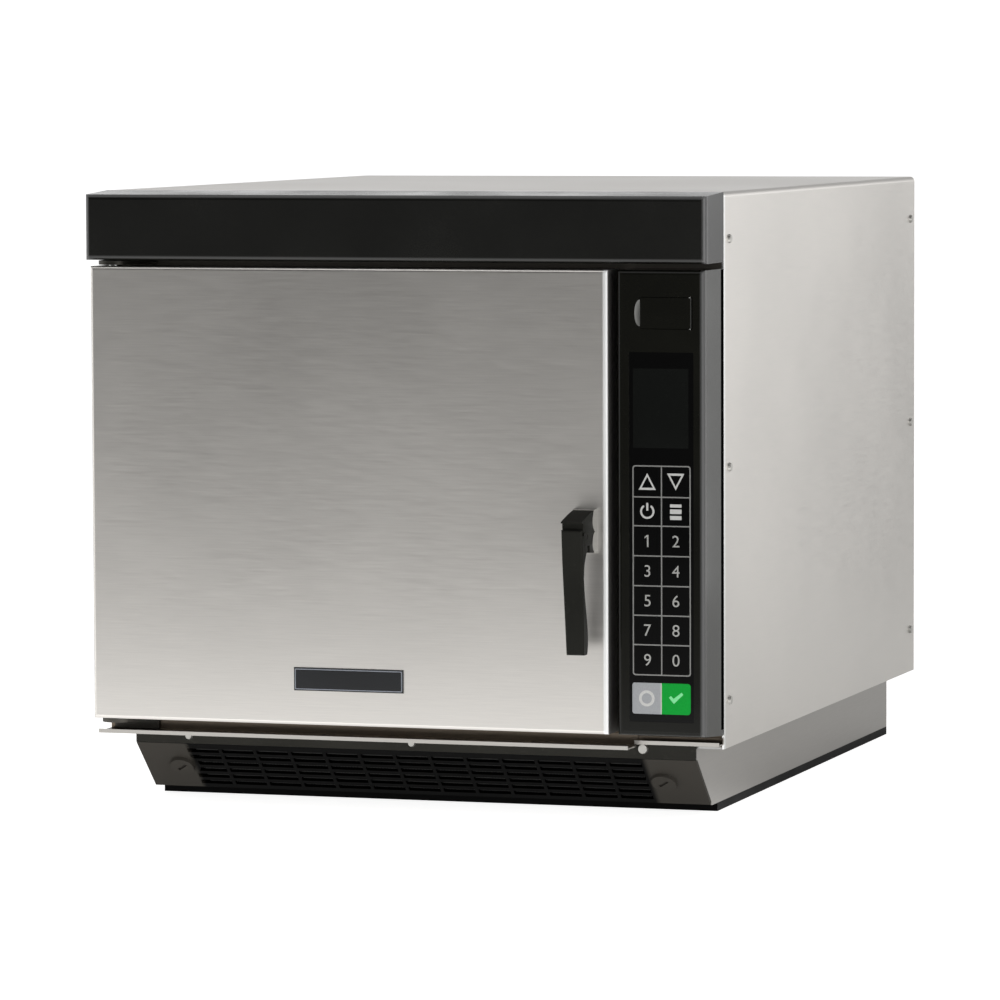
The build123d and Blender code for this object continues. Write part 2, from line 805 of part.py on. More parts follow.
# Bare badge plate on the door's lower edge
badge_x = door_left + badge_left + badge_width / 2
badge_z = door_low + badge_up + badge_height / 2
with BuildPart() as badge_plate:
    with BuildSketch(facing(face)):
        with Locations((badge_x, badge_z)):
            Rectangle(badge_width, badge_height)
    extrude(amount=badge_thickness)
    chamfer(badge_plate.faces().sort_by(Axis.Y)[0].edges(), length=badge_edge)
badge_plate.part.label = "badge_plate"
export_step(badge_plate.part, "parts/badge_plate.step")

# Hinges: an arm above and below the door, a plate on the cabinet, a pin and a bush
arm_spans = {
    "upper": (door_high + hinge_arm_gap, door_high + hinge_arm_gap + hinge_arm),
    "lower": (door_low - hinge_arm_gap - hinge_arm, door_low - hinge_arm_gap),
}
plate_backs = {"upper": front, "lower": front - ledge_sheet}
plate_spans = {
    "upper": (arm_spans["upper"][0], arm_spans["upper"][1] + hinge_plate_height),
    "lower": (arm_spans["lower"][0] - hinge_plate_low, arm_spans["lower"][1]),
}
with BuildPart() as hinge_arms:
    for place in ("upper", "lower"):
        plate_back = plate_backs[place]
        with BuildSketch(Plane.XY.offset(arm_spans[place][0])):
            span_rect((door_left, door_left + hinge_plate_width), (plate_back - hinge_arm, plate_back))
            with Locations((hinge_x, hinge_y)):
                Circle(hinge_arm_radius)
            make_hull()
            with Locations((hinge_x, hinge_y)):
                Circle(hinge_pin_radius + pin_play, mode=Mode.SUBTRACT)
        extrude(amount=hinge_arm)
        span_box((door_left, door_left + hinge_plate_width), (plate_back - hinge_arm, plate_back),
                 plate_spans[place])
hinge_arms.part.label = "hinge_arms"
export_step(hinge_arms.part, "parts/hinge_arms.step")

with BuildPart() as hinge_pins:
    for pin_low, pin_high in ((arm_spans["upper"][0] - hinge_bite, arm_spans["upper"][1]),
                              (arm_spans["lower"][0], arm_spans["lower"][1] + hinge_bite)):
        with BuildSketch(Plane.XY.offset(pin_low)):
            with Locations((hinge_x, hinge_y)):
                Circle(hinge_pin_radius)
        extrude(amount=pin_high - pin_low)
hinge_pins.part.label = "hinge_pins"
export_step(hinge_pins.part, "parts/hinge_pins.step")

with BuildPart() as hinge_bushes:
    for bush_start, turn in ((door_low, 1), (door_high, -1)):
        with BuildSketch(Plane.XY.offset(bush_start)):
            with Locations((hinge_x, hinge_y)):
                Circle(bush_outer - pin_play)
        extrude(amount=turn * (hinge_bite + hinge_arm_gap))
        with BuildSketch(Plane.XY.offset(bush_start + turn * door_sheet)):
            with Locations((hinge_x, hinge_y)):
                Circle(bush_outer + bush_collar)
        extrude(amount=turn * bush_collar)
    with Locations((hinge_x, hinge_y, (door_low + door_high) / 2)):
        Cylinder(hinge_pin_radius + pin_play, door_high - door_low + cut_over, mode=Mode.SUBTRACT)
hinge_bushes.part.label = "hinge_bushes"
export_step(hinge_bushes.part, "parts/hinge_bushes.step")

# Handle bracket: the bright plate between the block and the door, with two round lobes
handle_left = handle_x - handle_width / 2
handle_right = handle_x + handle_width / 2
block_low = pivot_z - block_drop
block_high = cap_front + cap_rise
lobe_heights = (block_low + bracket_lobe, block_high - bracket_lobe)


def bracket_outline(grow):
    """The bracket seen from its side, with a margin all round."""
    span_rect((face - bracket_out - grow, face), (block_low, block_high))
    with Locations(*[(face - bracket_out, height) for height in lobe_heights]):
        Circle(bracket_lobe + grow)
    span_rect((face, face + 2 * bracket_lobe), (block_low - bracket_lobe, block_high + bracket_lobe),
              mode=Mode.SUBTRACT)


with BuildPart() as handle_bracket:
    with BuildSketch(Plane.YZ.offset(handle_left - bracket_proud)):
        bracket_outline(0)
    extrude(amount=handle_width + 2 * bracket_proud)
    span_box((handle_x - tongue_half, handle_x + tongue_half), (face - 2 * bracket_lobe, face + cut_over),
             (pivot_z - tongue_drop, pivot_z + tongue_top), mode=Mode.SUBTRACT)
handle_bracket.part.label = "handle_bracket"
export_step(handle_bracket.part, "parts/handle_bracket.step")

# Handle block: fixed black moulding with a cap over the lever and two cheeks that hold its pin
with BuildPart() as handle_block:
    with BuildSketch(Plane.YZ.offset(handle_left)):
        with BuildLine():
            Polyline((face, block_high), (face, block_low),
                     (face - block_front, block_low + bracket_out / 2),
                     (face - block_front, pivot_z + stop_rise),
                     (pivot_y - stop_out, pivot_z + stop_rise),
                     (pivot_y - stop_out, cap_under),
                     (face - handle_front_top, cap_under),
                     (face - handle_front_top, cap_front))
            cap_middle = (cap_front + block_high) / 2 + cap_bulge
            ThreePointArc((face - handle_front_top, cap_front),
                          (face - handle_front_top / 2, cap_middle),
                          (face, block_high))
        make_face()
    extrude(amount=handle_width)
    with Locations((handle_x, pivot_y, pivot_z)):
        Cylinder(knuckle_radius, handle_width - 2 * handle_cheek, rotation=(0, 90, 0), mode=Mode.SUBTRACT)
    for cheek_left in (handle_left, handle_right - handle_cheek):
        with BuildSketch(Plane.YZ.offset(cheek_left)):
            with Locations((pivot_y, pivot_z)):
                Circle(knuckle_radius - fit)
            span_rect((pivot_y, face - block_front),
                      (pivot_z - knuckle_radius + fit, pivot_z + knuckle_radius - fit))
        extrude(amount=handle_cheek)
    with BuildSketch(Plane.YZ.offset(handle_left - cut_over)):
        bracket_outline(pin_play)
        span_rect((face - bracket_out - pin_play, face), (block_low - cut_over, block_high + cut_over))
    extrude(amount=handle_width + 2 * cut_over, mode=Mode.SUBTRACT)
    span_box((handle_x - tongue_half, handle_x + tongue_half), (pivot_y, face + cut_over),
             (pivot_z - tongue_drop, pivot_z + tongue_top), mode=Mode.SUBTRACT)
    with Locations((handle_x, pivot_y, pivot_z)):
        Cylinder(pivot_pin_radius + pin_play / 2, handle_width + cut_over, rotation=(0, 90, 0),
                 mode=Mode.SUBTRACT)
handle_block.part.label = "handle_block"
export_step(handle_block.part, "parts/handle_block.step")

# Handle lever: leaning grip with a lip before the block's stop, round knuckle between the cheeks, and
# the tongue that works the latch
lever_core = handle_width - 2 * handle_cheek - 2 * fit
lever_shoulder = pivot_z + lever_shoulder_rise
lip_back = face - handle_front_top + lever_lip
with BuildPart() as handle_lever:
    with BuildSketch(Plane.YZ.offset(handle_left)):
        with BuildLine():
            Polyline((pivot_y, lever_shoulder), (lip_back, lever_shoulder), (lip_back, lever_top),
                     (face - handle_front_top, lever_top),
                     (face - handle_front_bottom, lever_low),
                     (face - handle_back_bottom, lever_low))
            Spline((face - handle_back_bottom, lever_low),
                   (face - handle_back_middle, lever_middle),
                   (face - handle_back_top, knuckle_low),
                   (pivot_y + pivot_pin_radius, pivot_z - knuckle_radius - bracket_out))
            Line((pivot_y + pivot_pin_radius, pivot_z - knuckle_radius - bracket_out),
                 (pivot_y, lever_shoulder))
        make_face()
    extrude(amount=handle_width)
    for turn in (-1, 1):
        with BuildSketch(facing(face)):
            with BuildLine():
                Polyline((handle_x + turn * handle_width / 2, knuckle_low),
                         (handle_x + turn * (handle_width / 2 - lever_taper), lever_low),
                         (handle_x + turn * (handle_width / 2 + cut_over), lever_low - cut_over),
                         (handle_x + turn * (handle_width / 2 + cut_over), knuckle_low), close=True)
            make_face()
        extrude(amount=2 * handle_front_top, mode=Mode.SUBTRACT)
    fillet(handle_lever.faces().sort_by(SortBy.AREA)[-1].edges(), radius=lever_edge)
    with Locations((handle_x, pivot_y, pivot_z)):
        Cylinder(knuckle_radius, handle_width + cut_over, rotation=(0, 90, 0), mode=Mode.SUBTRACT)
    with BuildSketch(Plane.YZ.offset(handle_x - lever_core / 2)):
        with Locations((pivot_y, pivot_z)):
            Circle(knuckle_radius - 2 * fit)
        span_rect((pivot_y - knuckle_radius - 2 * fit, pivot_y),
                  (pivot_z - knuckle_radius + 2 * fit, pivot_z))
    extrude(amount=lever_core)
    span_box((handle_x - tongue_width / 2, handle_x + tongue_width / 2), (pivot_y, pivot_y + tongue_reach),
             (pivot_z - tongue_thickness / 2, pivot_z + tongue_thickness / 2))
    with Locations((handle_x, pivot_y, pivot_z)):
        Cylinder(pivot_pin_radius + pin_play, handle_width + cut_over, rotation=(0, 90, 0),
                 mode=Mode.SUBTRACT)
handle_lever.part.label = "handle_lever"
export_step(handle_lever.part, "parts/handle_lever.step")

with BuildPart() as handle_pin:
    with BuildSketch(Plane.YZ.offset(handle_left + fit)):
        with Locations((pivot_y, pivot_z)):
            Circle(pivot_pin_radius)
    extrude(amount=handle_width - 2 * fit)
handle_pin.part.label = "handle_pin"
export_step(handle_pin.part, "parts/handle_pin.step")

# Latch bar: slides down inside the door when the lever is pulled, with two hooked prongs
tab_top = pivot_z - tongue_thickness / 2 - latch_gap
with BuildPart() as latch_bar:
    with BuildSketch(Plane.YZ.offset(bar_left)):
        span_rect((bar_front, bar_back), (floor + latch_low, floor + latch_high))
        for height in prong_heights:
            prong_low = floor + height - prong_tall / 2
            prong_top = prong_low + prong_tall
            prong_tip = front + prong_reach
            with BuildLine():
                Polyline((bar_back - latch_bar_depth / 2, prong_low), (prong_tip - hook_length, prong_low),
                         (prong_tip, prong_low + prong_tall / 2), (prong_tip, prong_top),
                         (prong_tip - hook_length / 2, prong_top + hook_rise),
                         (prong_tip - hook_length, prong_top + hook_rise),
                         (prong_tip - hook_length, prong_top),
                         (bar_back - latch_bar_depth / 2, prong_top), close=True)
            make_face()
    extrude(amount=latch_bar_thickness)
    span_box((handle_x - tongue_width / 2 - tongue_slot_play, bar_right),
             (pivot_y + tongue_reach - tongue_width, bar_front + latch_bar_thickness),
             (tab_top - tongue_width, tab_top))
latch_bar.part.label = "latch_bar"
export_step(latch_bar.part, "parts/latch_bar.step")

# Guides for the latch bar, and the spring that lifts it
with BuildPart() as latch_guides:
    for height in guide_heights:
        guide_z = (floor + height - guide_height / 2, floor + height + guide_height / 2)
        span_box((bar_left - fit - guide_wall, bar_right + fit + guide_wall),
                 (bar_front - fit - guide_wall, door_back - door_sheet), guide_z)
        span_box((bar_left - fit, bar_right + fit), (bar_front - fit, bar_back + fit),
                 (guide_z[0] - cut_over, guide_z[1] + cut_over), mode=Mode.SUBTRACT)
    seat_z = floor + latch_low - spring_length - spring_seat
    span_box((latch_x - spring_radius, latch_x + spring_radius), (bar_front, door_back - door_sheet),
             (seat_z, seat_z + spring_seat))
latch_guides.part.label = "latch_guides"
export_step(latch_guides.part, "parts/latch_guides.step")

with BuildPart() as latch_spring:
    with BuildSketch(Plane.XY.offset(seat_z + spring_seat)):
        with Locations((latch_x, (bar_front + bar_back) / 2)):
            Circle(spring_radius)
            Circle(spring_radius / 2, mode=Mode.SUBTRACT)
    extrude(amount=spring_length - pin_play)
latch_spring.part.label = "latch_spring"
export_step(latch_spring.part, "parts/latch_spring.step")

# Channel behind the latch slots, with the door switches
channel_left = latch_x - slot_half
channel_right = latch_x + slot_half
with BuildPart() as interlock_channel:
    with BuildSketch(Plane.XY.offset(floor + channel_low)):
        span_rect((channel_left - channel_wall, channel_right + channel_wall),
                  (cavity_front, cavity_front + channel_depth))
        span_rect((channel_left, channel_right),
                  (cavity_front - cut_over, cavity_front + channel_depth - channel_wall),
                  mode=Mode.SUBTRACT)
    extrude(amount=channel_high - channel_low)
interlock_channel.part.label = "interlock_channel"
export_step(interlock_channel.part, "parts/interlock_channel.step")

with BuildPart() as door_switches:
    for height in prong_heights:
        switch_z = floor + height
        span_box((channel_right + channel_wall, channel_right + channel_wall + switch_depth),
                 (cavity_front, cavity_front + channel_depth),
                 (switch_z - switch_height / 2, switch_z + switch_height / 2))
door_switches.part.label = "door_switches"
export_step(door_switches.part, "parts/door_switches.step")

# Control bezel: moulded shell right of the door, with the overlay's recess and the port's pocket
window_x = (panel_left + window_left, panel_left + window_left + window_width)
overlay_x = (panel_left + overlay_left, side - overlay_right)
overlay_z = (floor + overlay_low, panel_high - overlay_top_gap)
window_high = overlay_z[1] - window_top_gap
window_z = (window_high - window_height, window_high)
usb_x = (panel_left + usb_left, panel_left + usb_left + usb_width)
usb_high = panel_high - usb_top_gap
usb_z = (usb_high - usb_height, usb_high)
usb_back = face + usb_pocket_depth
board_y = face + board_setback
with BuildPart() as control_bezel:
    bezel_low = panel_low - bezel_tail
    with BuildSketch(Plane.XY.offset(bezel_low)):
        with BuildLine():
            Polyline((panel_left, front), (panel_left, face), (side - panel_draft, face), (side, front),
                     close=True)
        make_face()
    extrude(amount=panel_high - bezel_low)
    with BuildSketch(Plane.YZ.offset(panel_left - cut_over)):
        with BuildLine():
            Polyline((face - cut_over, panel_low), (face, panel_low), (front, bezel_low),
                     (front, bezel_low - cut_over), (face - cut_over, bezel_low - cut_over), close=True)
        make_face()
    extrude(amount=panel_width + 2 * cut_over, mode=Mode.SUBTRACT)
    fillet(control_bezel.faces().sort_by(Axis.Y)[0].edges(), radius=bezel_edge)
    span_box((side - bezel_step, side + cut_over), (front - bezel_step_width, front + cut_over),
             (bezel_low - cut_over, panel_high + cut_over), mode=Mode.SUBTRACT)
    span_box((panel_left + bezel_wall, side - panel_draft - bezel_wall),
             (face + bezel_wall, front + cut_over),
             (panel_low + bezel_wall, panel_high - bezel_wall), mode=Mode.SUBTRACT)
    span_box((usb_x[0] - usb_wall, usb_x[1] + usb_wall), (face + bezel_wall / 2, usb_back + usb_wall),
             (usb_z[0] - usb_wall, usb_z[1] + usb_wall))
    span_box(usb_x, (face - cut_over, usb_back), usb_z, mode=Mode.SUBTRACT)
    span_box(overlay_x, (face - cut_over, face + overlay_thickness), overlay_z, mode=Mode.SUBTRACT)
    span_box(window_x, (face - cut_over, face + bezel_wall + fit), window_z, mode=Mode.SUBTRACT)
    with BuildSketch(facing(face)):
        with Locations((usb_x[0], (usb_z[0] + usb_z[1]) / 2)):
            Ellipse(notch_width / 2, notch_length / 2)
    extrude(amount=-notch_depth, mode=Mode.SUBTRACT)
    for post_x in (overlay_x[0] + post_radius, overlay_x[1] - post_radius):
        for post_z in (overlay_z[0] + post_radius, overlay_z[1] - post_radius):
            with BuildSketch(facing(face + bezel_wall / 2)):
                with Locations((post_x, post_z)):
                    Circle(post_radius)
            extrude(amount=-(board_setback - bezel_wall / 2))
control_bezel.part.label = "control_bezel"
export_step(control_bezel.part, "parts/control_bezel.step")

# Glossy overlay with the membrane keys and the display window
with BuildPart() as key_overlay:
    with BuildSketch(facing(face + overlay_thickness)):
        span_rect((overlay_x[0] + pin_play, overlay_x[1] - pin_play),
                  (overlay_z[0] + pin_play, overlay_z[1] - pin_play))
    extrude(amount=overlay_thickness * 3 / 4)
key_overlay.part.label = "key_overlay"
export_step(key_overlay.part, "parts/key_overlay.step")

with BuildPart() as display_module:
    span_box((window_x[0] - display_margin, window_x[1] + display_margin),
             (face + bezel_wall, face + bezel_wall + display_depth),
             (window_z[0] - display_margin, window_z[1] + display_margin))
display_module.part.label = "display_module"
export_step(display_module.part, "parts/display_module.step")

with BuildPart() as control_board:
    span_box((panel_left + board_margin, side - board_margin), (board_y, board_y + board_thickness),
             (overlay_z[0], overlay_z[1]))
    for share in board_part_shares:
        part_z = overlay_z[0] + share * (overlay_z[1] - overlay_z[0])
        span_box((window_x[0], window_x[0] + relay_size),
                 (board_y + board_thickness, board_y + board_thickness + relay_gap),
                 (part_z, part_z + relay_size))
control_board.part.label = "control_board"
export_step(control_board.part, "parts/control_board.step")

# Cover over the service port, its pin and the socket behind it
cover_back = face + usb_cover_thickness
cover_pin_x = usb_x[1] - usb_pin_inset
cover_pin_y = face + usb_barrel
with BuildPart() as usb_cover:
    with BuildSketch(Plane.XY.offset(usb_z[0] + usb_gap)):
        span_rect((usb_x[0] + usb_gap, cover_pin_x), (face, cover_back))
        with Locations((cover_pin_x, cover_pin_y)):
            Circle(usb_barrel)
            Circle(usb_pin_radius + pin_play, mode=Mode.SUBTRACT)
    extrude(amount=usb_z[1] - usb_z[0] - 2 * usb_gap)
usb_cover.part.label = "usb_cover"
export_step(usb_cover.part, "parts/usb_cover.step")

with BuildPart() as usb_pin:
    with BuildSketch(Plane.XY.offset(usb_z[0])):
        with Locations((cover_pin_x, cover_pin_y)):
            Circle(usb_pin_radius)
    extrude(amount=usb_z[1] - usb_z[0])
usb_pin.part.label = "usb_pin"
export_step(usb_pin.part, "parts/usb_pin.step")

socket_x = (usb_x[0] + usb_x[1]) / 2
socket_z = (usb_z[0] + usb_z[1]) / 2
with BuildPart() as usb_socket:
    with BuildSketch(facing(usb_back)):
        with Locations((socket_x, socket_z)):
            Rectangle(socket_width, socket_height)
            Rectangle(socket_width - 2 * socket_wall, socket_height - 2 * socket_wall, mode=Mode.SUBTRACT)
    extrude(amount=socket_depth)
    with BuildSketch(facing(usb_back)):
        with Locations((socket_x, socket_z)):
            Rectangle(socket_width - socket_wall, socket_height - socket_wall)
    extrude(amount=socket_wall)
usb_socket.part.label = "usb_socket"
export_step(usb_socket.part, "parts/usb_socket.step")

# Cavity: welded steel box with two pressed ledges on each side, a fan bay at the back and two antenna wells
cavity_outside_low = cavity_low - cavity_sheet
cavity_outside_high = cavity_high + cavity_sheet
heater_y = baffle_y + fan_bay_depth / 2
tail_x = heater_ring / 6
tail_z = cavity_middle_z + sqrt(heater_ring ** 2 - tail_x ** 2)
with BuildPart() as cavity:
    with BuildSketch(facing(cavity_front)):
        with Locations((cavity_shift, cavity_middle_z)):
            RectangleRounded(cavity_width + 2 * cavity_sheet, cavity_height + 2 * cavity_sheet,
                             cavity_corner + cavity_sheet)
    extrude(amount=-(cavity_back_outside - cavity_front))
    with BuildSketch(facing(cavity_front)):
        with Locations((cavity_shift, cavity_middle_z)):
            RectangleRounded(cavity_width, cavity_height, cavity_corner)
    extrude(amount=-(cavity_back - cavity_front), mode=Mode.SUBTRACT)
    for lift in ledge_lifts:
        ledge_z = cavity_low + lift
        with BuildSketch(facing(cavity_front + cavity_corner)):
            with BuildLine():
                Polyline((cavity_left - cavity_sheet / 2, ledge_z), (cavity_left + ledge_reach, ledge_z),
                         (cavity_left + ledge_reach, ledge_z - ledge_drop),
                         (cavity_left - cavity_sheet / 2, ledge_z - 3 * ledge_drop), close=True)
            make_face()
            mirror(about=Plane.YZ.offset(cavity_shift))
        extrude(amount=-(cavity_depth - 2 * cavity_corner))
    with Locations((cavity_shift, cavity_middle_y, cavity_high),
                   (cavity_shift, cavity_middle_y, cavity_low)):
        Cylinder(well_radius - duct_sheet, 2 * cavity_sheet + cut_over, mode=Mode.SUBTRACT)
    with BuildSketch(facing(cavity_back - cut_over)):
        with Locations((cavity_shift, cavity_middle_z)):
            Circle(shaft_radius + shaft_play)
        with Locations((cavity_shift - tail_x, tail_z), (cavity_shift + tail_x, tail_z)):
            Circle(heater_lead + fit)
    extrude(amount=-(cavity_sheet + 2 * cut_over), mode=Mode.SUBTRACT)
cavity.part.label = "cavity"
export_step(cavity.part, "parts/cavity.step")

# Fan baffle: the slotted panel that hides the fan and heater from the food
with BuildPart() as fan_baffle:
    with BuildSketch(facing(baffle_y)):
        with Locations((cavity_shift, cavity_middle_z)):
            RectangleRounded(cavity_width - 2 * fit, cavity_height - 2 * fit, cavity_corner - fit)
            Circle(baffle_eye / 2, mode=Mode.SUBTRACT)
            with PolarLocations(baffle_ring + baffle_slot_length / 2, baffle_slots):
                Rectangle(baffle_slot_length, baffle_slot_width, mode=Mode.SUBTRACT)
            with PolarLocations(baffle_eye, baffle_slots // 2):
                Rectangle(baffle_slot_length / 2, baffle_slot_width, mode=Mode.SUBTRACT)
    extrude(amount=-baffle_sheet)
fan_baffle.part.label = "fan_baffle"
export_step(fan_baffle.part, "parts/fan_baffle.step")

# Convection fan, its motor and the ring heater round it
fan_back = cavity_back - fan_bay_depth / 6
motor_back = cavity_back_outside + motor_length
with BuildPart() as convection_fan:
    with BuildSketch(facing(fan_back)):
        with Locations((cavity_shift, cavity_middle_z)):
            Circle(fan_radius)
    extrude(amount=fan_plate)
    with BuildSketch(facing(fan_back - fan_plate)):
        with Locations((cavity_shift, cavity_middle_z)):
            Circle(hub_radius)
            with PolarLocations((fan_radius + 2 * hub_radius) / 2, fan_blades):
                Rectangle(fan_radius - 2 * hub_radius, blade_thickness, rotation=blade_lean)
    extrude(amount=fan_depth)
    with BuildSketch(facing(fan_back)):
        with Locations((cavity_shift, cavity_middle_z)):
            Circle(shaft_radius)
    extrude(amount=-(motor_back - fan_back - motor_length / 3))
convection_fan.part.label = "convection_fan"
export_step(convection_fan.part, "parts/convection_fan.step")

with BuildPart() as convection_motor:
    with BuildSketch(facing(cavity_back_outside)):
        with Locations((cavity_shift, cavity_middle_z)):
            Circle(motor_radius)
            Circle(shaft_radius + pin_play, mode=Mode.SUBTRACT)
    extrude(amount=-motor_length * 3 / 4)
    with BuildSketch(facing(cavity_back_outside + motor_length * 3 / 4)):
        with Locations((cavity_shift, cavity_middle_z)):
            Circle(motor_radius * 2 / 3)
    extrude(amount=-motor_length / 4)
    fillet(convection_motor.edges().filter_by(GeomType.CIRCLE).sort_by(Axis.Y)[-1], radius=duct_sheet)
convection_motor.part.label = "convection_motor"
export_step(convection_motor.part, "parts/convection_motor.step")

with BuildPart() as ring_heater:
    with Locations((cavity_shift, heater_y, cavity_middle_z)):
        Torus(heater_ring, heater_tube, rotation=(90, 0, 0))
    with BuildSketch(facing(heater_y - heater_lead / 2)):
        with Locations((cavity_shift - tail_x, tail_z), (cavity_shift + tail_x, tail_z)):
            Circle(heater_lead)
    extrude(amount=-(cavity_back_outside - heater_y + heater_tail))
ring_heater.part.label = "ring_heater"
export_step(ring_heater.part, "parts/ring_heater.step")

# Insulation: a blanket folded round the cavity, open at both ends
blanket_low = cavity_outside_low - insulation
blanket_high = cavity_outside_high + insulation
with BuildPart() as cavity_insulation:
    with BuildSketch(facing(cavity_front)):
        with Locations((cavity_shift, cavity_middle_z)):
            RectangleRounded(cavity_width + 2 * (cavity_sheet + insulation),
                             cavity_height + 2 * (cavity_sheet + insulation),
                             cavity_corner + insulation)
            RectangleRounded(cavity_width + 2 * cavity_sheet, cavity_height + 2 * cavity_sheet,
                             cavity_corner + cavity_sheet, mode=Mode.SUBTRACT)
    extrude(amount=-(cavity_back_outside - cavity_front))
    with Locations((cavity_shift, cavity_middle_y, cavity_middle_z)):
        Cylinder(well_radius + fit, blanket_high - blanket_low + cut_over, mode=Mode.SUBTRACT)
cavity_insulation.part.label = "cavity_insulation"
export_step(cavity_insulation.part, "parts/cavity_insulation.step")

# Wire rack: a rod frame with wires from front to back, resting on the lower ledges
rack_z = cavity_low + ledge_lifts[0] + fit + rack_rod
rack_x = cavity_width / 2 - rack_side_play - rack_rod
rack_front = cavity_front + rack_front_gap
rack_depth = cavity_depth - rack_front_gap - rack_back_gap
rack_back = rack_front + rack_depth
wire_pitch = 2 * rack_x / (rack_wires + 1)
with BuildPart() as oven_rack:
    with BuildLine(Plane.XY.offset(rack_z)):
        FilletPolyline((cavity_shift, rack_front + rack_rod),
                       (cavity_shift + rack_x, rack_front + rack_rod),
                       (cavity_shift + rack_x, rack_back - rack_rod), (cavity_shift, rack_back - rack_rod),
                       radius=rack_corner)
    with BuildSketch(Plane.YZ.offset(cavity_shift)):
        with Locations((rack_front + rack_rod, rack_z)):
            Circle(rack_rod)
    sweep()
    mirror(about=Plane.YZ.offset(cavity_shift))
    with BuildSketch(Plane.YZ.offset(cavity_shift - rack_x)):
        with Locations(((rack_front + rack_back) / 2, rack_z)):
            Circle(rack_rod)
    extrude(amount=2 * rack_x)
    for wire in range(rack_wires):
        with BuildSketch(facing(rack_front + rack_rod)):
            with Locations((cavity_shift - rack_x + (wire + 1) * wire_pitch,
                            rack_z + rack_rod + rack_wire / 2)):
                Circle(rack_wire)
        extrude(amount=-(rack_depth - 2 * rack_rod))
oven_rack.part.label = "oven_rack"
export_step(oven_rack.part, "parts/oven_rack.step")

# Ceramic floor over the lower antenna, and the cover plate under the upper one
with BuildPart() as ceramic_floor:
    with BuildSketch(Plane.XY.offset(cavity_low)):
        with Locations((cavity_shift, cavity_middle_y)):
            RectangleRounded(cavity_width - 2 * stone_play, cavity_depth - 2 * stone_play, cavity_corner)
    extrude(amount=stone_thickness)
    chamfer(ceramic_floor.faces().sort_by(Axis.Z)[-1].edges(), length=baffle_sheet / 2)
ceramic_floor.part.label = "ceramic_floor"
export_step(ceramic_floor.part, "parts/ceramic_floor.step")

with BuildPart() as antenna_cover:
    with BuildSketch(Plane.XY.offset(cavity_high - cover_thickness)):
        with Locations((cavity_shift, cavity_middle_y)):
            RectangleRounded(2 * (well_radius + cover_margin), 2 * (well_radius + cover_margin),
                             cavity_corner)
    extrude(amount=cover_thickness)
antenna_cover.part.label = "antenna_cover"
export_step(antenna_cover.part, "parts/antenna_cover.step")

# Waveguides, antennas, their motors and the two magnetrons, above and below the cavity
duct_right = inside - duct_end_gap
magnetron_x = (cavity_right + cavity_sheet + insulation + inside) / 2
levels = {
    "upper": (cavity_outside_high, 1, duct_height_upper),
    "lower": (cavity_outside_low, -1, duct_height_lower),
}
for level in levels:
    start, turn, duct_height = levels[level]
    with BuildPart() as antenna:
        with BuildSketch(Plane.XY.offset(start + turn * well_height / 3)):
            with Locations((cavity_shift, cavity_middle_y)):
                Circle(stirrer_arm_width)
                with PolarLocations(stirrer_radius / 2, stirrer_arms):
                    Rectangle(stirrer_radius, stirrer_arm_width)
        extrude(amount=turn * stirrer_sheet)
        with BuildSketch(Plane.XY.offset(start + turn * well_height / 3)):
            with Locations((cavity_shift, cavity_middle_y)):
                Circle(stirrer_shaft)
        extrude(amount=turn * (well_height * 2 / 3 + duct_height + stirrer_motor_height / 2))
    antenna.part.label = f"{level}_antenna"
    export_step(antenna.part, f"parts/{level}_antenna.step")

with BuildPart() as waveguides:
    for start, turn, duct_height in levels.values():
        duct_start = start + turn * well_height
        duct_end = duct_start + turn * duct_height
        duct_span = sorted((duct_start, duct_end))
        duct_left = cavity_shift - duct_width / 2
        span_box((duct_left, duct_right), (cavity_middle_y - duct_width / 2,
                                           cavity_middle_y + duct_width / 2), duct_span)
        with BuildSketch(Plane.XY.offset(start)):
            with Locations((cavity_shift, cavity_middle_y)):
                Circle(well_radius)
        extrude(amount=turn * well_height)
        with BuildSketch(Plane.XY.offset(start)):
            with Locations((cavity_shift, cavity_middle_y)):
                Circle(well_radius - duct_sheet)
        extrude(amount=turn * (well_height - duct_sheet), mode=Mode.SUBTRACT)
        span_box((duct_left + duct_sheet, duct_right - duct_sheet),
                 (cavity_middle_y - duct_width / 2 + duct_sheet,
                  cavity_middle_y + duct_width / 2 - duct_sheet),
                 (duct_span[0] + duct_sheet, duct_span[1] - duct_sheet), mode=Mode.SUBTRACT)
        with Locations((cavity_shift, cavity_middle_y, (start + duct_end) / 2)):
            Cylinder(stirrer_shaft + shaft_play, abs(duct_end - start) + cut_over, mode=Mode.SUBTRACT)
        with Locations((magnetron_x, cavity_middle_y, duct_start)):
            Cylinder(magnetron_dome + shaft_play, 2 * duct_sheet + cut_over, mode=Mode.SUBTRACT)
waveguides.part.label = "waveguides"
export_step(waveguides.part, "parts/waveguides.step")

with BuildPart() as antenna_motors:
    for start, turn, duct_height in levels.values():
        motor_plane = Plane.XY.offset(start + turn * (well_height + duct_height))
        with BuildSketch(motor_plane):
            with Locations((cavity_shift, cavity_middle_y)):
                Circle(stirrer_motor_radius)
        extrude(amount=turn * stirrer_motor_height)
        with BuildSketch(motor_plane):
            with Locations((cavity_shift, cavity_middle_y)):
                Circle(stirrer_shaft + pin_play)
        extrude(amount=turn * (stirrer_motor_height / 2 + shaft_play), mode=Mode.SUBTRACT)
antenna_motors.part.label = "antenna_motors"
export_step(antenna_motors.part, "parts/antenna_motors.step")

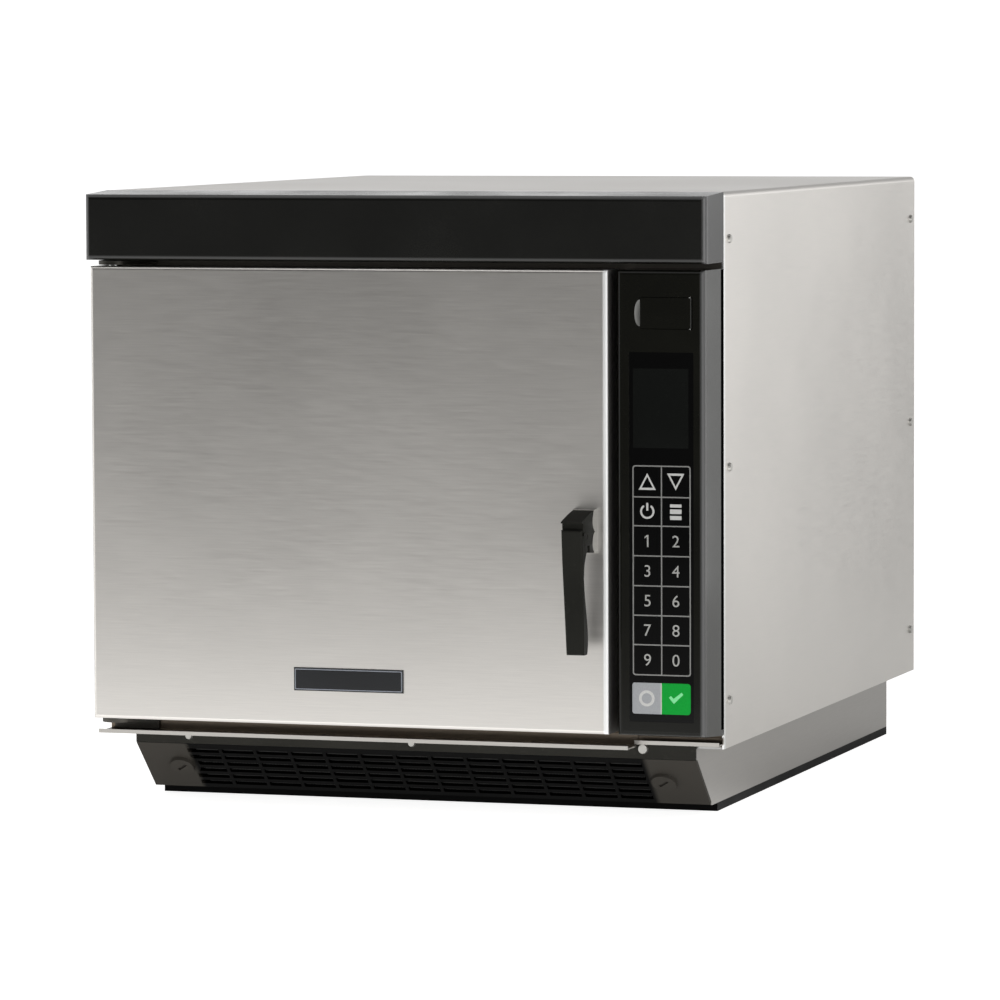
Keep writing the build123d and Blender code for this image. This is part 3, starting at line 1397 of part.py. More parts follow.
with BuildPart() as magnetrons:
    for start, turn, duct_height in levels.values():
        duct_start = start + turn * well_height
        body_span = sorted((duct_start, duct_start - turn * magnetron_height))
        with BuildSketch(facing(cavity_middle_y - magnetron_depth / 2)):
            span_rect((magnetron_x - magnetron_width / 2, magnetron_x + magnetron_width / 2), body_span)
            span_rect((magnetron_x - magnetron_width / 2 + magnetron_fin,
                       magnetron_x + magnetron_width / 2 - magnetron_fin),
                      (body_span[0] + magnetron_fin, body_span[1] - magnetron_fin), mode=Mode.SUBTRACT)
        extrude(amount=-magnetron_depth)
        for fin in range(magnetron_fins):
            fin_z = body_span[0] + magnetron_height * (fin + 1) / (magnetron_fins + 1)
            span_box((magnetron_x - magnetron_width / 2, magnetron_x + magnetron_width / 2),
                     (cavity_middle_y - magnetron_depth / 3, cavity_middle_y + magnetron_depth / 3),
                     (fin_z - magnetron_fin / 2, fin_z + magnetron_fin / 2))
        with BuildSketch(Plane.XY.offset(body_span[0])):
            with Locations((magnetron_x, cavity_middle_y)):
                Circle(magnetron_core)
        extrude(amount=magnetron_height)
        with BuildSketch(Plane.XY.offset(duct_start)):
            with Locations((magnetron_x, cavity_middle_y)):
                Circle(magnetron_dome)
        extrude(amount=turn * magnetron_dome_height)
magnetrons.part.label = "magnetrons"
export_step(magnetrons.part, "parts/magnetrons.step")

# Two high-voltage transformers on the chassis pan, behind the lower magnetron
pan_top = floor + sheet
transformer_front = cavity_middle_y + duct_width / 2 + transformer_gap
with BuildPart() as transformers:
    core_left = magnetron_x - transformer_width / 2
    core_right = magnetron_x + transformer_width / 2
    window_wide = (transformer_width - 3 * transformer_leg) / 2
    for core_front in (transformer_front, transformer_front + transformer_depth + transformer_gap):
        with BuildSketch(facing(core_front + winding_bulge)):
            span_rect((core_left, core_right), (pan_top, pan_top + transformer_height))
            for window_start in (core_left + transformer_leg, magnetron_x + transformer_leg / 2):
                span_rect((window_start, window_start + window_wide),
                          (pan_top + transformer_leg, pan_top + transformer_height - transformer_leg),
                          mode=Mode.SUBTRACT)
        extrude(amount=-(transformer_depth - 2 * winding_bulge))
        with BuildSketch(facing(core_front)):
            with Locations((magnetron_x, pan_top + transformer_height / 2)):
                RectangleRounded(transformer_width - 2 * transformer_leg - fit,
                                 transformer_height - 2 * transformer_leg - fit, transformer_leg / 3)
        extrude(amount=-transformer_depth)
transformers.part.label = "transformers"
export_step(transformers.part, "parts/transformers.step")

# Two oval capacitors at the front of the electrical bay
with BuildPart() as capacitors:
    for turn in (-1, 1):
        capacitor_x = magnetron_x + turn * (capacitor_width + capacitor_gap) / 2
        with BuildSketch(Plane.XY.offset(pan_top)):
            with Locations((capacitor_x, front + pan_flange_setback + capacitor_depth)):
                SlotOverall(capacitor_depth, capacitor_width, rotation=90)
        extrude(amount=capacitor_height)
        with BuildSketch(Plane.XY.offset(pan_top + capacitor_height)):
            with Locations((capacitor_x, front + pan_flange_setback + capacitor_depth)):
                with GridLocations(0, capacitor_depth / 2, 1, 2):
                    Rectangle(capacitor_tab, magnetron_fin)
        extrude(amount=capacitor_tab)
capacitors.part.label = "capacitors"
export_step(capacitors.part, "parts/capacitors.step")

# Cooling blower: scroll housing over the pan's intake, its wheel and its motor
blower_top = pan_top + blower_height
with BuildPart() as blower_housing:
    with BuildSketch(Plane.XY.offset(pan_top)):
        with Locations((blower_x, blower_y)):
            Circle(blower_radius)
        span_rect((blower_x, blower_x + blower_radius + capacitor_gap),
                  (blower_y + blower_radius - blower_outlet, blower_y + blower_radius))
    extrude(amount=blower_height)
    with BuildSketch(Plane.XY.offset(pan_top + blower_wall)):
        with Locations((blower_x, blower_y)):
            Circle(blower_radius - blower_wall)
        span_rect((blower_x, blower_x + blower_radius + capacitor_gap + cut_over),
                  (blower_y + blower_radius - blower_outlet + blower_wall,
                   blower_y + blower_radius - blower_wall))
    extrude(amount=blower_height - 2 * blower_wall, mode=Mode.SUBTRACT)
    with Locations((blower_x, blower_y, pan_top)):
        Cylinder(intake_radius - blower_wall, 2 * blower_wall + cut_over, mode=Mode.SUBTRACT)
    with Locations((blower_x, blower_y, blower_top)):
        Cylinder(shaft_radius + shaft_play, 2 * blower_wall + cut_over, mode=Mode.SUBTRACT)
blower_housing.part.label = "blower_housing"
export_step(blower_housing.part, "parts/blower_housing.step")

wheel_top = blower_top - 3 * blower_wall
wheel_low = wheel_top - wheel_height
blade_length = wheel_radius / 5
with BuildPart() as blower_wheel:
    with BuildSketch(Plane.XY.offset(wheel_top - wheel_plate)):
        with Locations((blower_x, blower_y)):
            Circle(wheel_radius)
    extrude(amount=wheel_plate)
    with BuildSketch(Plane.XY.offset(wheel_low)):
        with Locations((blower_x, blower_y)):
            Circle(wheel_radius)
            Circle(wheel_radius - blade_length, mode=Mode.SUBTRACT)
    extrude(amount=wheel_plate)
    with BuildSketch(Plane.XY.offset(wheel_low + wheel_plate / 2)):
        with Locations((blower_x, blower_y)):
            with PolarLocations(wheel_radius - blade_length / 2 - wheel_plate / 2, wheel_blades):
                Rectangle(blade_length - wheel_plate, wheel_plate, rotation=wheel_blade_lean)
    extrude(amount=wheel_height - wheel_plate)
    with BuildSketch(Plane.XY.offset(wheel_top - 2 * hub_radius)):
        with Locations((blower_x, blower_y)):
            Circle(hub_radius)
    extrude(amount=2 * hub_radius)
    with BuildSketch(Plane.XY.offset(wheel_top)):
        with Locations((blower_x, blower_y)):
            Circle(shaft_radius)
    extrude(amount=blower_top - wheel_top + blower_motor_height / 2)
blower_wheel.part.label = "blower_wheel"
export_step(blower_wheel.part, "parts/blower_wheel.step")

with BuildPart() as blower_motor:
    with BuildSketch(Plane.XY.offset(blower_top)):
        with Locations((blower_x, blower_y)):
            Circle(blower_motor_radius)
    extrude(amount=blower_motor_height)
    with BuildSketch(Plane.XY.offset(blower_top)):
        with Locations((blower_x, blower_y)):
            Circle(shaft_radius + pin_play)
    extrude(amount=blower_motor_height / 2 + shaft_play, mode=Mode.SUBTRACT)
    fillet(blower_motor.edges().filter_by(GeomType.CIRCLE).sort_by(Axis.Z)[-1], radius=blower_wall)
blower_motor.part.label = "blower_motor"
export_step(blower_motor.part, "parts/blower_motor.step")

# Relay board on four posts at the back of the electrical bay
relay_front = transformer_front + 2 * (transformer_depth + transformer_gap)
with BuildPart() as relay_board:
    span_box((magnetron_x - relay_board_width / 2, magnetron_x + relay_board_width / 2),
             (relay_front, relay_front + relay_board_depth),
             (pan_top + post_height, pan_top + post_height + board_thickness))
    with BuildSketch(Plane.XY.offset(pan_top)):
        with Locations((magnetron_x, relay_front + relay_board_depth / 2)):
            with GridLocations(relay_board_width - relay_size, relay_board_depth - relay_size, 2, 2):
                Circle(post_radius)
    extrude(amount=post_height)
    with BuildSketch(Plane.XY.offset(pan_top + post_height + board_thickness)):
        with Locations((magnetron_x, relay_front + relay_board_depth / 2)):
            with GridLocations(relay_size + relay_gap, 0, 3, 1):
                Rectangle(relay_size, 2 * relay_size)
    extrude(amount=relay_size)
relay_board.part.label = "relay_board"
export_step(relay_board.part, "parts/relay_board.step")
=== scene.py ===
import math

import bmesh
import bpy
from mathutils import Matrix, Vector


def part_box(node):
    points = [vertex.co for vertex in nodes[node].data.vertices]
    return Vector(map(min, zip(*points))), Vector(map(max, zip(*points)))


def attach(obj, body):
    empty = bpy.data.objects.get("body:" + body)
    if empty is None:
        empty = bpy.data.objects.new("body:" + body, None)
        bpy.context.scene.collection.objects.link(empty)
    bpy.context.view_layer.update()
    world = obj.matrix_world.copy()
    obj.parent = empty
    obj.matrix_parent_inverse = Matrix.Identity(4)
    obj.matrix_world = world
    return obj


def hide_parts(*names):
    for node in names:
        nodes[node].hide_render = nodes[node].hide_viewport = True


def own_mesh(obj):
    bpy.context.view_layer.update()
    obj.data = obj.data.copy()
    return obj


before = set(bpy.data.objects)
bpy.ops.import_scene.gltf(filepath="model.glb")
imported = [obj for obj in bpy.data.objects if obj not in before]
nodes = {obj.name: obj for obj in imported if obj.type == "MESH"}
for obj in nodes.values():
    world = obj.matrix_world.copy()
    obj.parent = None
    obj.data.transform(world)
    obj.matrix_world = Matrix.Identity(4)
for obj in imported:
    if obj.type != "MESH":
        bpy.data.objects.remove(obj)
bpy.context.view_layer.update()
scene = bpy.context.scene
MM = 0.001


# Helpers for node trees

# Places of a colour mix's factor and two colours among its inputs, and of the mixed colour among its outputs
MIX_INPUTS, MIX_RESULT = (0, 6, 7), 2


class Graph:
    """Adds nodes to one node tree and links them."""

    def __init__(self, tree):
        self.nodes = tree.nodes
        self.links = tree.links

    def feed(self, socket, value):
        """Link a socket to another one, or give it a constant."""
        if isinstance(value, bpy.types.NodeSocket):
            self.links.new(value, socket)
        elif socket.type == "RGBA" and len(value) == 3:
            socket.default_value = (*value, 1.0)
        else:
            socket.default_value = value

    def add(self, kind, **values):
        """A new node, its inputs and its settings given by name."""
        node = self.nodes.new(kind)
        for key, value in values.items():
            if key in node.inputs:
                self.feed(node.inputs[key], value)
            else:
                setattr(node, key, value)
        return node

    def parts(self, vector):
        """A vector's X, Y and Z."""
        return self.add("ShaderNodeSeparateXYZ", Vector=vector).outputs

    def spread(self, factor, low, high, source_low=0.3, source_high=0.7):
        """A value carried from one range to another and held at both ends. The usual source is a noise."""
        ends = {"From Min": source_low, "From Max": source_high, "To Min": low, "To Max": high}
        return self.add("ShaderNodeMapRange", Value=factor, **ends).outputs["Result"]

    def math(self, operation, first, second=0.0):
        """The result of one calculation on one or two values."""
        node = self.add("ShaderNodeMath", operation=operation)
        for socket, value in zip(node.inputs, (first, second)):
            self.feed(socket, value)
        return node.outputs[0]

    def mix(self, factor, first, second):
        """Two colours mixed by a factor from 0 to 1."""
        node = self.add("ShaderNodeMix", data_type="RGBA")
        for index, value in zip(MIX_INPUTS, (factor, first, second)):
            self.feed(node.inputs[index], value)
        return node.outputs[MIX_RESULT]


class Tree(Graph):
    """Builds one material round its Principled shader."""

    def __init__(self, name):
        self.material = bpy.data.materials.new(name)
        self.material.use_nodes = True
        super().__init__(self.material.node_tree)
        self.shader = self.nodes["Principled BSDF"]
        self.place = self.add("ShaderNodeTexCoord").outputs["Object"]

    def mapped(self, scale):
        """The place on the object, scaled along each axis."""
        return self.add("ShaderNodeMapping", Vector=self.place, Scale=scale).outputs["Vector"]

    def noise(self, scale, detail=3.0, roughness=0.5):
        """A noise of one scale, or of one for each axis."""
        stretch = scale if isinstance(scale, tuple) else (scale, scale, scale)
        return self.add("ShaderNodeTexNoise", Vector=self.mapped(stretch), Scale=1.0, Detail=detail,
                        Roughness=roughness).outputs["Fac"]

    def turned(self, base, axis, start, end, tone):
        """Painted light and shade by facing: a colour that takes another tone on faces turned along an axis,
        where 1 is straight along it.
        """
        normal = self.add("ShaderNodeNewGeometry").outputs["True Normal"]
        return self.mix(self.spread(self.parts(normal)[axis], 0.0, 1.0, start, end), base, tone)

    def bump(self, height, strength, distance):
        """Give the surface a fine relief."""
        node = self.add("ShaderNodeBump", Height=height, Strength=strength, Distance=distance)
        self.feed(self.shader.inputs["Normal"], node.outputs["Normal"])

    def set(self, **values):
        """Give the shader's inputs by name, with _ for a space."""
        for key, value in values.items():
            self.feed(self.shader.inputs[key.replace("_", " ")], value)


def shade(color, factor):
    """A colour made darker or lighter."""
    return tuple(min(1.0, channel * factor) for channel in color)


# Helpers for procedural materials

# How far the bumps of the materials reach
STEEL_RELIEF, MOULD_RELIEF, WEAVE_RELIEF = 0.2 * MM, 0.1 * MM, 0.4 * MM
# Brushed steel: the shares of its two streaks, how much finer the second one is, and the share of the blotches
FINE_SHARE, CROSS_SHARE, CROSS_SCALE, WORN_SHARE = 0.6, 0.4, 2.3, 0.4
# Plastic: how softly the painted edge highlight starts across and in depth, and how softly the pale ends start
HIGHLIGHT_ACROSS, HIGHLIGHT_DEEP, END_ACROSS = 2.5 * MM, 6.0 * MM, 4.0 * MM


def brushed(name, color, roughness, streak, depth=0.12, contrast=0.06, blotch=0.05, edge=None,
            edge_paint=(0.97, 0.97, 0.96), gleam=0.0, painted_top_shade=None, painted_right_tone=None):
    """Brushed steel: fine streaks along the low-frequency axes of streak, soft blotches, a little grease.

    An edge gives an axis and the two places between which the steel turns to another tone: a painted highlight
    where that tone is pale and a painted shade where it is dark, and the gleam is the share of light that this
    painted highlight scatters. A tone for the upper faces paints shade on them, and a tone for the faces turned
    right paints shade on those."""
    tree = Tree(name)
    fine = tree.noise(streak, detail=3.0, roughness=0.6)
    cross = tree.noise(tuple(value * CROSS_SCALE for value in streak), detail=2.0)
    cloud = tree.noise(6.0, detail=2.0)
    grain = tree.math("ADD", tree.math("MULTIPLY", fine, FINE_SHARE), tree.math("MULTIPLY", cross, CROSS_SHARE))
    lit = tree.mix(tree.spread(grain, 0.0, 1.0), shade(color, 1 - contrast), shade(color, 1 + contrast))
    worn = tree.mix(tree.spread(cloud, 0.0, 1.0), shade(color, 1 - blotch), shade(color, 1.0))
    blend = tree.mix(WORN_SHARE, lit, worn)
    metallic = 1.0
    # Painted highlight on the door's and wrapper's edges, painted shade behind the ledge's lip and at the
    # frame's foot
    if edge:
        axis, start, end = edge
        place = tree.parts(tree.place)[axis]
        blend = tree.mix(tree.spread(place, 0.0, 1.0, start, end), blend, edge_paint)
        if gleam:
            metallic = tree.spread(place, 1.0, 1.0 - gleam, start, end)
    # Painted shade on the upper faces
    if painted_top_shade:
        blend = tree.turned(blend, "Z", 0.5, 0.9, painted_top_shade)
    # Painted shade on the faces turned right
    if painted_right_tone:
        blend = tree.turned(blend, "X", 0.8, 0.95, painted_right_tone)
    rough = tree.math("ADD", tree.spread(grain, roughness - 0.05, roughness + 0.05),
                      tree.spread(cloud, -0.02, 0.03))
    tree.set(Base_Color=blend, Metallic=metallic, Roughness=rough)
    tree.bump(grain, depth, STEEL_RELIEF)
    return tree.material


def plastic(name, color, roughness, grain=0.35, scale=2200.0, specular=0.5, edge=None, ends=None, painted_right_tone=None):
    """Moulded plastic: fine spark texture, a faint cloud of handling marks and paler worn spots.

    An edge takes a painted highlight from a distance off the middle, in front of a depth. The ends take a paler
    tone from another distance, and a tone for the faces turned right paints light on them."""
    tree = Tree(name)
    spark = tree.noise(scale, detail=2.0)
    cloud = tree.noise(14.0, detail=4.0)
    dust = tree.noise(160.0, detail=5.0, roughness=0.7)
    base = tree.mix(tree.spread(cloud, 0.0, 1.0), shade(color, 0.85), shade(color, 1.2))
    top = tree.mix(tree.spread(dust, 0.0, 0.5, 0.58, 0.85), base, shade(color, 2.2))
    if edge or ends:
        place = tree.parts(tree.place)
        off_middle = tree.math("ABSOLUTE", place["X"])
    # Painted light on the faces turned right
    if painted_right_tone:
        top = tree.turned(top, "X", 0.3, 0.9, painted_right_tone)
    # Painted highlight on the rounded side edges, fading towards the back
    if edge:
        outside, depth, tone = edge
        edge_highlight = tree.math("MULTIPLY", tree.spread(off_middle, 0.0, 1.0, outside, outside + HIGHLIGHT_ACROSS),
                           tree.spread(place["Y"], 1.0, 0.0, depth, depth + HIGHLIGHT_DEEP))
        top = tree.mix(edge_highlight, top, (tone, tone, tone))
    if ends:
        outside, tone = ends
        top = tree.mix(tree.spread(off_middle, 0.0, 1.0, outside, outside + END_ACROSS), top, tone)
    rough = tree.math("ADD", tree.spread(cloud, roughness - 0.05, roughness + 0.06),
                      tree.spread(spark, -0.03, 0.03))
    tree.set(Base_Color=top, Metallic=0.0, Roughness=rough, Specular_IOR_Level=specular)
    tree.bump(spark, grain, MOULD_RELIEF)
    return tree.material


def plated(name, color, roughness, scale=300.0, contrast=0.08, bump=0.1):
    """Zinc, nickel or cast metal: fine flakes and clouds in colour and gloss."""
    tree = Tree(name)
    flake = tree.add("ShaderNodeTexVoronoi", Vector=tree.mapped((scale, scale, scale)),
                     Scale=1.0).outputs["Distance"]
    cloud = tree.noise(30.0, detail=4.0)
    tone = tree.mix(tree.spread(flake, 0.0, 1.0, 0.0, 0.9), shade(color, 1 - contrast),
                    shade(color, 1 + contrast))
    tree.set(Base_Color=tree.mix(tree.spread(cloud, 0.0, 0.5), tone, shade(color, 0.8)), Metallic=1.0,
             Roughness=tree.spread(cloud, roughness - 0.05, roughness + 0.08))
    tree.bump(flake, bump, MOULD_RELIEF)
    return tree.material


def ink(name, color, roughness=0.45, specular=0.5):
    """Printed ink: slightly uneven colour."""
    tree = Tree(name)
    cloud = tree.noise(900.0, detail=3.0)
    tone = tree.mix(tree.spread(cloud, 0.0, 1.0), shade(color, 0.94), shade(color, 1.06))
    tree.set(Base_Color=tone, Roughness=roughness, Specular_IOR_Level=specular)
    return tree.material


def solder_mask():
    """A circuit board: green lacquer over a grid of tracks."""
    tree = Tree("solder_mask")
    tracks = tree.add("ShaderNodeTexBrick", Vector=tree.mapped((1.0, 1.0, 1.0)), Scale=160.0,
                      Color1=(0.01, 0.09, 0.035), Color2=(0.014, 0.12, 0.05),
                      Mortar=(0.05, 0.26, 0.12)).outputs["Color"]
    tree.set(Base_Color=tracks, Roughness=tree.spread(tree.noise(400.0), 0.3, 0.45))
    return tree.material


def filter_weave():
    """Fine black wire cloth: crossed waves give the wires and the dark holes between them."""
    tree = Tree("filter_weave")
    waves = [tree.add("ShaderNodeTexWave", Vector=tree.mapped((1.0, 1.0, 1.0)), bands_direction=axis,
                      Scale=130.0).outputs["Fac"] for axis in ("X", "Z")]
    wire = tree.math("MAXIMUM", *waves)
    tone = tree.mix(tree.spread(wire, 0.0, 1.0, 0.4, 0.9), (0.002, 0.002, 0.002), (0.02, 0.02, 0.019))
    tree.set(Base_Color=tone, Roughness=0.6)
    tree.bump(wire, 0.6, WEAVE_RELIEF)
    return tree.material


def heat_tint():
    """The heater's sheath: dark oxide with blue and straw bands."""
    tree = Tree("heat_tint")
    band = tree.noise(38.0, detail=4.0)
    tone = tree.mix(tree.spread(band, 0.0, 1.0), (0.11, 0.10, 0.095), (0.22, 0.17, 0.12))
    tree.set(Base_Color=tone, Metallic=0.7, Roughness=tree.spread(band, 0.4, 0.6))
    tree.bump(tree.noise(1500.0), 0.2, MOULD_RELIEF)
    return tree.material


# Materials: first where their painted edge highlights, painted shades and the grille's pale ends lie in the
# frame, in metres

# Painted highlights: the door's right edge and the wrapper's front edge turn near white
DOOR_EDGE_HIGHLIGHT = ("X", 0.1647, 0.1660)
WRAPPER_EDGE_HIGHLIGHT = ("Y", -0.2925, -0.2970)
# Painted shade: behind the ledge's lip, and at the frame's foot under the door
LEDGE_BACK_SHADE = ("Y", -0.3045, -0.3005)
FRAME_FOOT_SHADE = ("Z", 0.096, 0.080)
# Painted highlights on the rounded side edges of the visor and the control panel
VISOR_EDGE_HIGHLIGHT = (0.2405, -0.3458, 0.14)
PANEL_EDGE_HIGHLIGHT = (0.2392, -0.3458, 0.13)
GRILLE_ENDS = (0.181, (0.046, 0.042, 0.036))

STEEL = (0.735, 0.71, 0.675)
# Door steel: a painted highlight on its right edge and painted shade on its right side face
door_steel = brushed("door_steel", STEEL, 0.36, (26.0, 950.0, 950.0), depth=0.14, contrast=0.07, blotch=0.03,
                     edge=DOOR_EDGE_HIGHLIGHT, gleam=0.75, painted_right_tone=(0.13, 0.125, 0.12))
# Wrapper steel: a painted highlight along its front edge
wrapper_steel = brushed("wrapper_steel", STEEL, 0.36, (900.0, 22.0, 900.0), depth=0.1, contrast=0.05,
                        edge=WRAPPER_EDGE_HIGHLIGHT)
# Trim steel: painted shade behind its lip and on its upper faces
trim_steel = brushed("trim_steel", (0.50, 0.48, 0.45), 0.32, (12.0, 700.0, 700.0), edge=LEDGE_BACK_SHADE,
                     edge_paint=(0.17, 0.14, 0.11), painted_top_shade=(0.09, 0.077, 0.063))
# Frame steel: dark brown as painted shade in the gap under the door, darker still at its foot
frame_steel = brushed("frame_steel", (0.26, 0.24, 0.21), 0.40, (900.0, 900.0, 12.0), blotch=0.12,
                      edge=FRAME_FOOT_SHADE, edge_paint=(0.11, 0.088, 0.066))
skirt_steel = brushed("skirt_steel", (0.42, 0.405, 0.385), 0.40, (900.0, 30.0, 900.0), depth=0.06,
                      contrast=0.03, blotch=0.02)
inner_steel = brushed("inner_steel", (0.62, 0.61, 0.59), 0.34, (900.0, 900.0, 12.0), blotch=0.12)
cavity_steel = brushed("cavity_steel", (0.60, 0.59, 0.57), 0.30, (700.0, 12.0, 700.0), blotch=0.18)

zinc = plated("zinc", (0.50, 0.50, 0.49), 0.36)
hinge_steel = plated("hinge_steel", (0.10, 0.095, 0.085), 0.50, scale=700.0)
screw_nickel = plated("screw_nickel", (0.54, 0.53, 0.50), 0.42, scale=900.0, contrast=0.03, bump=0.03)
bright = plated("bright_plating", (0.80, 0.80, 0.78), 0.14, scale=900.0, contrast=0.03, bump=0.03)
alloy = plated("cast_alloy", (0.68, 0.68, 0.69), 0.40, scale=500.0, bump=0.2)
oxide = heat_tint()

# Visor and panel blacks: painted highlights on their side edges and painted light on faces turned right
visor_black = plastic("visor_black", (0.006, 0.006, 0.0048), 0.22, grain=0.15, edge=VISOR_EDGE_HIGHLIGHT,
                      painted_right_tone=(0.010, 0.010, 0.0095))
panel_black = plastic("panel_black", (0.006, 0.006, 0.0042), 0.14, grain=0.10, specular=0.19, edge=PANEL_EDGE_HIGHLIGHT,
                      painted_right_tone=(0.048, 0.048, 0.045))
handle_black = plastic("handle_black", (0.017, 0.017, 0.0145), 0.34, specular=0.04)
grille_black = plastic("grille_black", (0.0005, 0.0005, 0.0004), 0.40, specular=0.03, ends=GRILLE_ENDS)
rail_black = plastic("rail_black", (0.028, 0.027, 0.023), 0.42, specular=0.08)
tray_black = plastic("tray_black", (0.002, 0.002, 0.002), 0.5, specular=0.06)
film_black = plastic("film_black", (0.0012, 0.0012, 0.0012), 0.10, grain=0.03, specular=0.16)
screen_black = plastic("screen_black", (0.0045, 0.0052, 0.0045), 0.16, grain=0.02, specular=0.2)
badge_black = plastic("badge_black", (0.0045, 0.0055, 0.0075), 0.22, grain=0.05)
# Matte black of the painted shadow strip on the panel's side
painted_shadow_black = plastic("painted_shadow_black", (0.0015, 0.0015, 0.0015), 0.9, specular=0.0)
# Grey of the notch scoop: a painted highlight
scoop_highlight_grey = plastic("scoop_highlight_grey", (0.20, 0.20, 0.19), 0.35)
choke_plastic = plastic("choke_plastic", (0.55, 0.54, 0.50), 0.45, scale=1500.0)
motor_paint = plastic("motor_paint", (0.045, 0.045, 0.05), 0.4, scale=900.0)
rubber = plastic("rubber", (0.02, 0.02, 0.019), 0.75, scale=1200.0)
silicone = plastic("silicone", (0.32, 0.31, 0.29), 0.6, scale=900.0)
ceramic = plastic("ceramic", (0.62, 0.58, 0.50), 0.55, scale=1800.0)
wool = plastic("wool", (0.66, 0.62, 0.50), 0.95, grain=1.0, scale=500.0)
board_green = solder_mask()
weave = filter_weave()

print_light = ink("print_light", (0.24, 0.24, 0.23))
print_soft = ink("print_soft", (0.40, 0.40, 0.38))
print_white = ink("print_white", (0.60, 0.60, 0.58))
badge_steel = ink("badge_steel", (0.26, 0.28, 0.32), roughness=0.3)
key_grey = ink("key_grey", (0.36, 0.37, 0.385), roughness=0.35)
key_green = ink("key_green", (0.001, 0.35, 0.036), roughness=0.5, specular=0.15)
key_mint = ink("key_mint", (0.22, 0.80, 0.34))

finishes = {
    "wrapper": wrapper_steel, "door_shell": door_steel, "front_ledges": trim_steel,
    "front_frame": frame_steel, "rear_panel": inner_steel, "door_inner": inner_steel,
    "hinge_arms": hinge_steel, "interlock_channel": zinc, "cavity": cavity_steel,
    "fan_baffle": cavity_steel, "oven_rack": bright, "chassis_pan": zinc, "base_skirts": skirt_steel,
    "waveguides": zinc, "transformers": zinc, "blower_housing": zinc, "latch_guides": zinc,
    "visor": visor_black, "control_bezel": panel_black, "usb_cover": panel_black,
    "handle_block": handle_black, "handle_lever": handle_black, "base_rail": rail_black,
    "intake_grille": grille_black, "grille_knobs": grille_black, "choke_cover": choke_plastic,
    "base_plate": tray_black, "key_overlay": film_black, "display_module": film_black,
    "badge_plate": badge_black, "handle_bracket": bright, "cabinet_screws": screw_nickel,
    "hinge_pins": bright, "handle_pin": hinge_steel, "usb_pin": bright, "usb_socket": bright,
    "latch_bar": bright, "latch_spring": bright, "convection_fan": alloy, "magnetrons": alloy,
    "upper_antenna": alloy, "lower_antenna": alloy, "capacitors": alloy,
    "convection_motor": motor_paint, "antenna_motors": motor_paint, "blower_motor": motor_paint,
    "blower_wheel": motor_paint, "ring_heater": oxide, "feet": rubber, "door_seal": silicone,
    "cord_gland": rubber, "hinge_bushes": rubber, "filter_mesh": weave, "cavity_insulation": wool,
    "ceramic_floor": ceramic, "antenna_cover": ceramic, "control_board": board_green,
    "relay_board": board_green, "door_switches": motor_paint,
}
for name, node in nodes.items():
    node.data.materials.clear()
    node.data.materials.append(finishes[name])


# Helpers for pieces

# Turns a flat outline upright, its face to the front
STAND = Matrix.Rotation(math.radians(90), 4, "X")
# A number's height as a share of its font's size, and how far its strokes are trimmed
NUMBER_SHARE, STROKE_TRIM = 0.72, -0.02 * MM


def piece(name, mesh, material, body):
    """A new visible piece, riding one CAD body."""
    thing = bpy.data.objects.new(name, mesh)
    scene.collection.objects.link(thing)
    mesh.materials.clear()
    mesh.materials.append(material)
    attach(thing, body)
    return thing


def built_mesh(name, points, faces, smooth=False):
    """A mesh from its points and faces."""
    mesh = bpy.data.meshes.new(name)
    mesh.from_pydata(points, [], faces)
    if smooth:
        mesh.shade_smooth()
    return mesh


def curve_mesh(name, curve):
    """The mesh that a curve gives."""
    holder = bpy.data.objects.new(name + "_outline", curve)
    mesh = bpy.data.meshes.new_from_object(holder)
    bpy.data.objects.remove(holder)
    mesh.name = name
    return mesh


def flat_mesh(name, loops, y, thick):
    """Solid plates on the XZ plane at y, each from an outline and its holes, thick towards the front."""
    curve = bpy.data.curves.new(name, "CURVE")
    curve.dimensions = "2D"
    curve.fill_mode = "BOTH"
    curve.extrude = thick / 2
    for loop in loops:
        spline = curve.splines.new("POLY")
        spline.points.add(len(loop) - 1)
        for point, (u, v) in zip(spline.points, loop):
            point.co = (u, v, 0.0, 1.0)
        spline.use_cyclic_u = True
    mesh = curve_mesh(name, curve)
    mesh.transform(Matrix.Translation((0.0, y - thick / 2, 0.0)) @ STAND)
    return mesh


def digit_mesh(name, text, u, v, height, y, thick):
    """A plain number as a thin solid, its middle at u and v."""
    curve = bpy.data.curves.new(name, "FONT")
    curve.body = text
    curve.size = height / NUMBER_SHARE
    curve.align_x = "CENTER"
    curve.extrude = thick / 2
    curve.offset = STROKE_TRIM
    mesh = curve_mesh(name, curve)
    across = [vertex.co.x for vertex in mesh.vertices]
    upward = [vertex.co.y for vertex in mesh.vertices]
    shift = u - (min(across) + max(across)) / 2
    lift = v - (min(upward) + max(upward)) / 2
    mesh.transform(Matrix.Translation((shift, y - thick / 2, lift)) @ STAND)
    return mesh


def joined(name, meshes):
    """One mesh from several."""
    build = bmesh.new()
    for mesh in meshes:
        build.from_mesh(mesh)
        bpy.data.meshes.remove(mesh)
    result = bpy.data.meshes.new(name)
    build.to_mesh(result)
    build.free()
    return result


def rounded(left, right, low, high, radius, corners=(1, 1, 1, 1), steps=6):
    """A rectangle's outline with some corners rounded: low left, low right, high right, high left."""
    middles = ((left + radius, low + radius), (right - radius, low + radius),
               (right - radius, high - radius), (left + radius, high - radius))
    sharp = ((left, low), (right, low), (right, high), (left, high))
    points = []
    for corner, ((u, v), edge, soft) in enumerate(zip(middles, sharp, corners)):
        if not soft:
            points.append(edge)
            continue
        for step in range(steps + 1):
            angle = math.pi * (1.0 + corner / 2 + step / (2 * steps))
            points.append((u + radius * math.cos(angle), v + radius * math.sin(angle)))
    return points


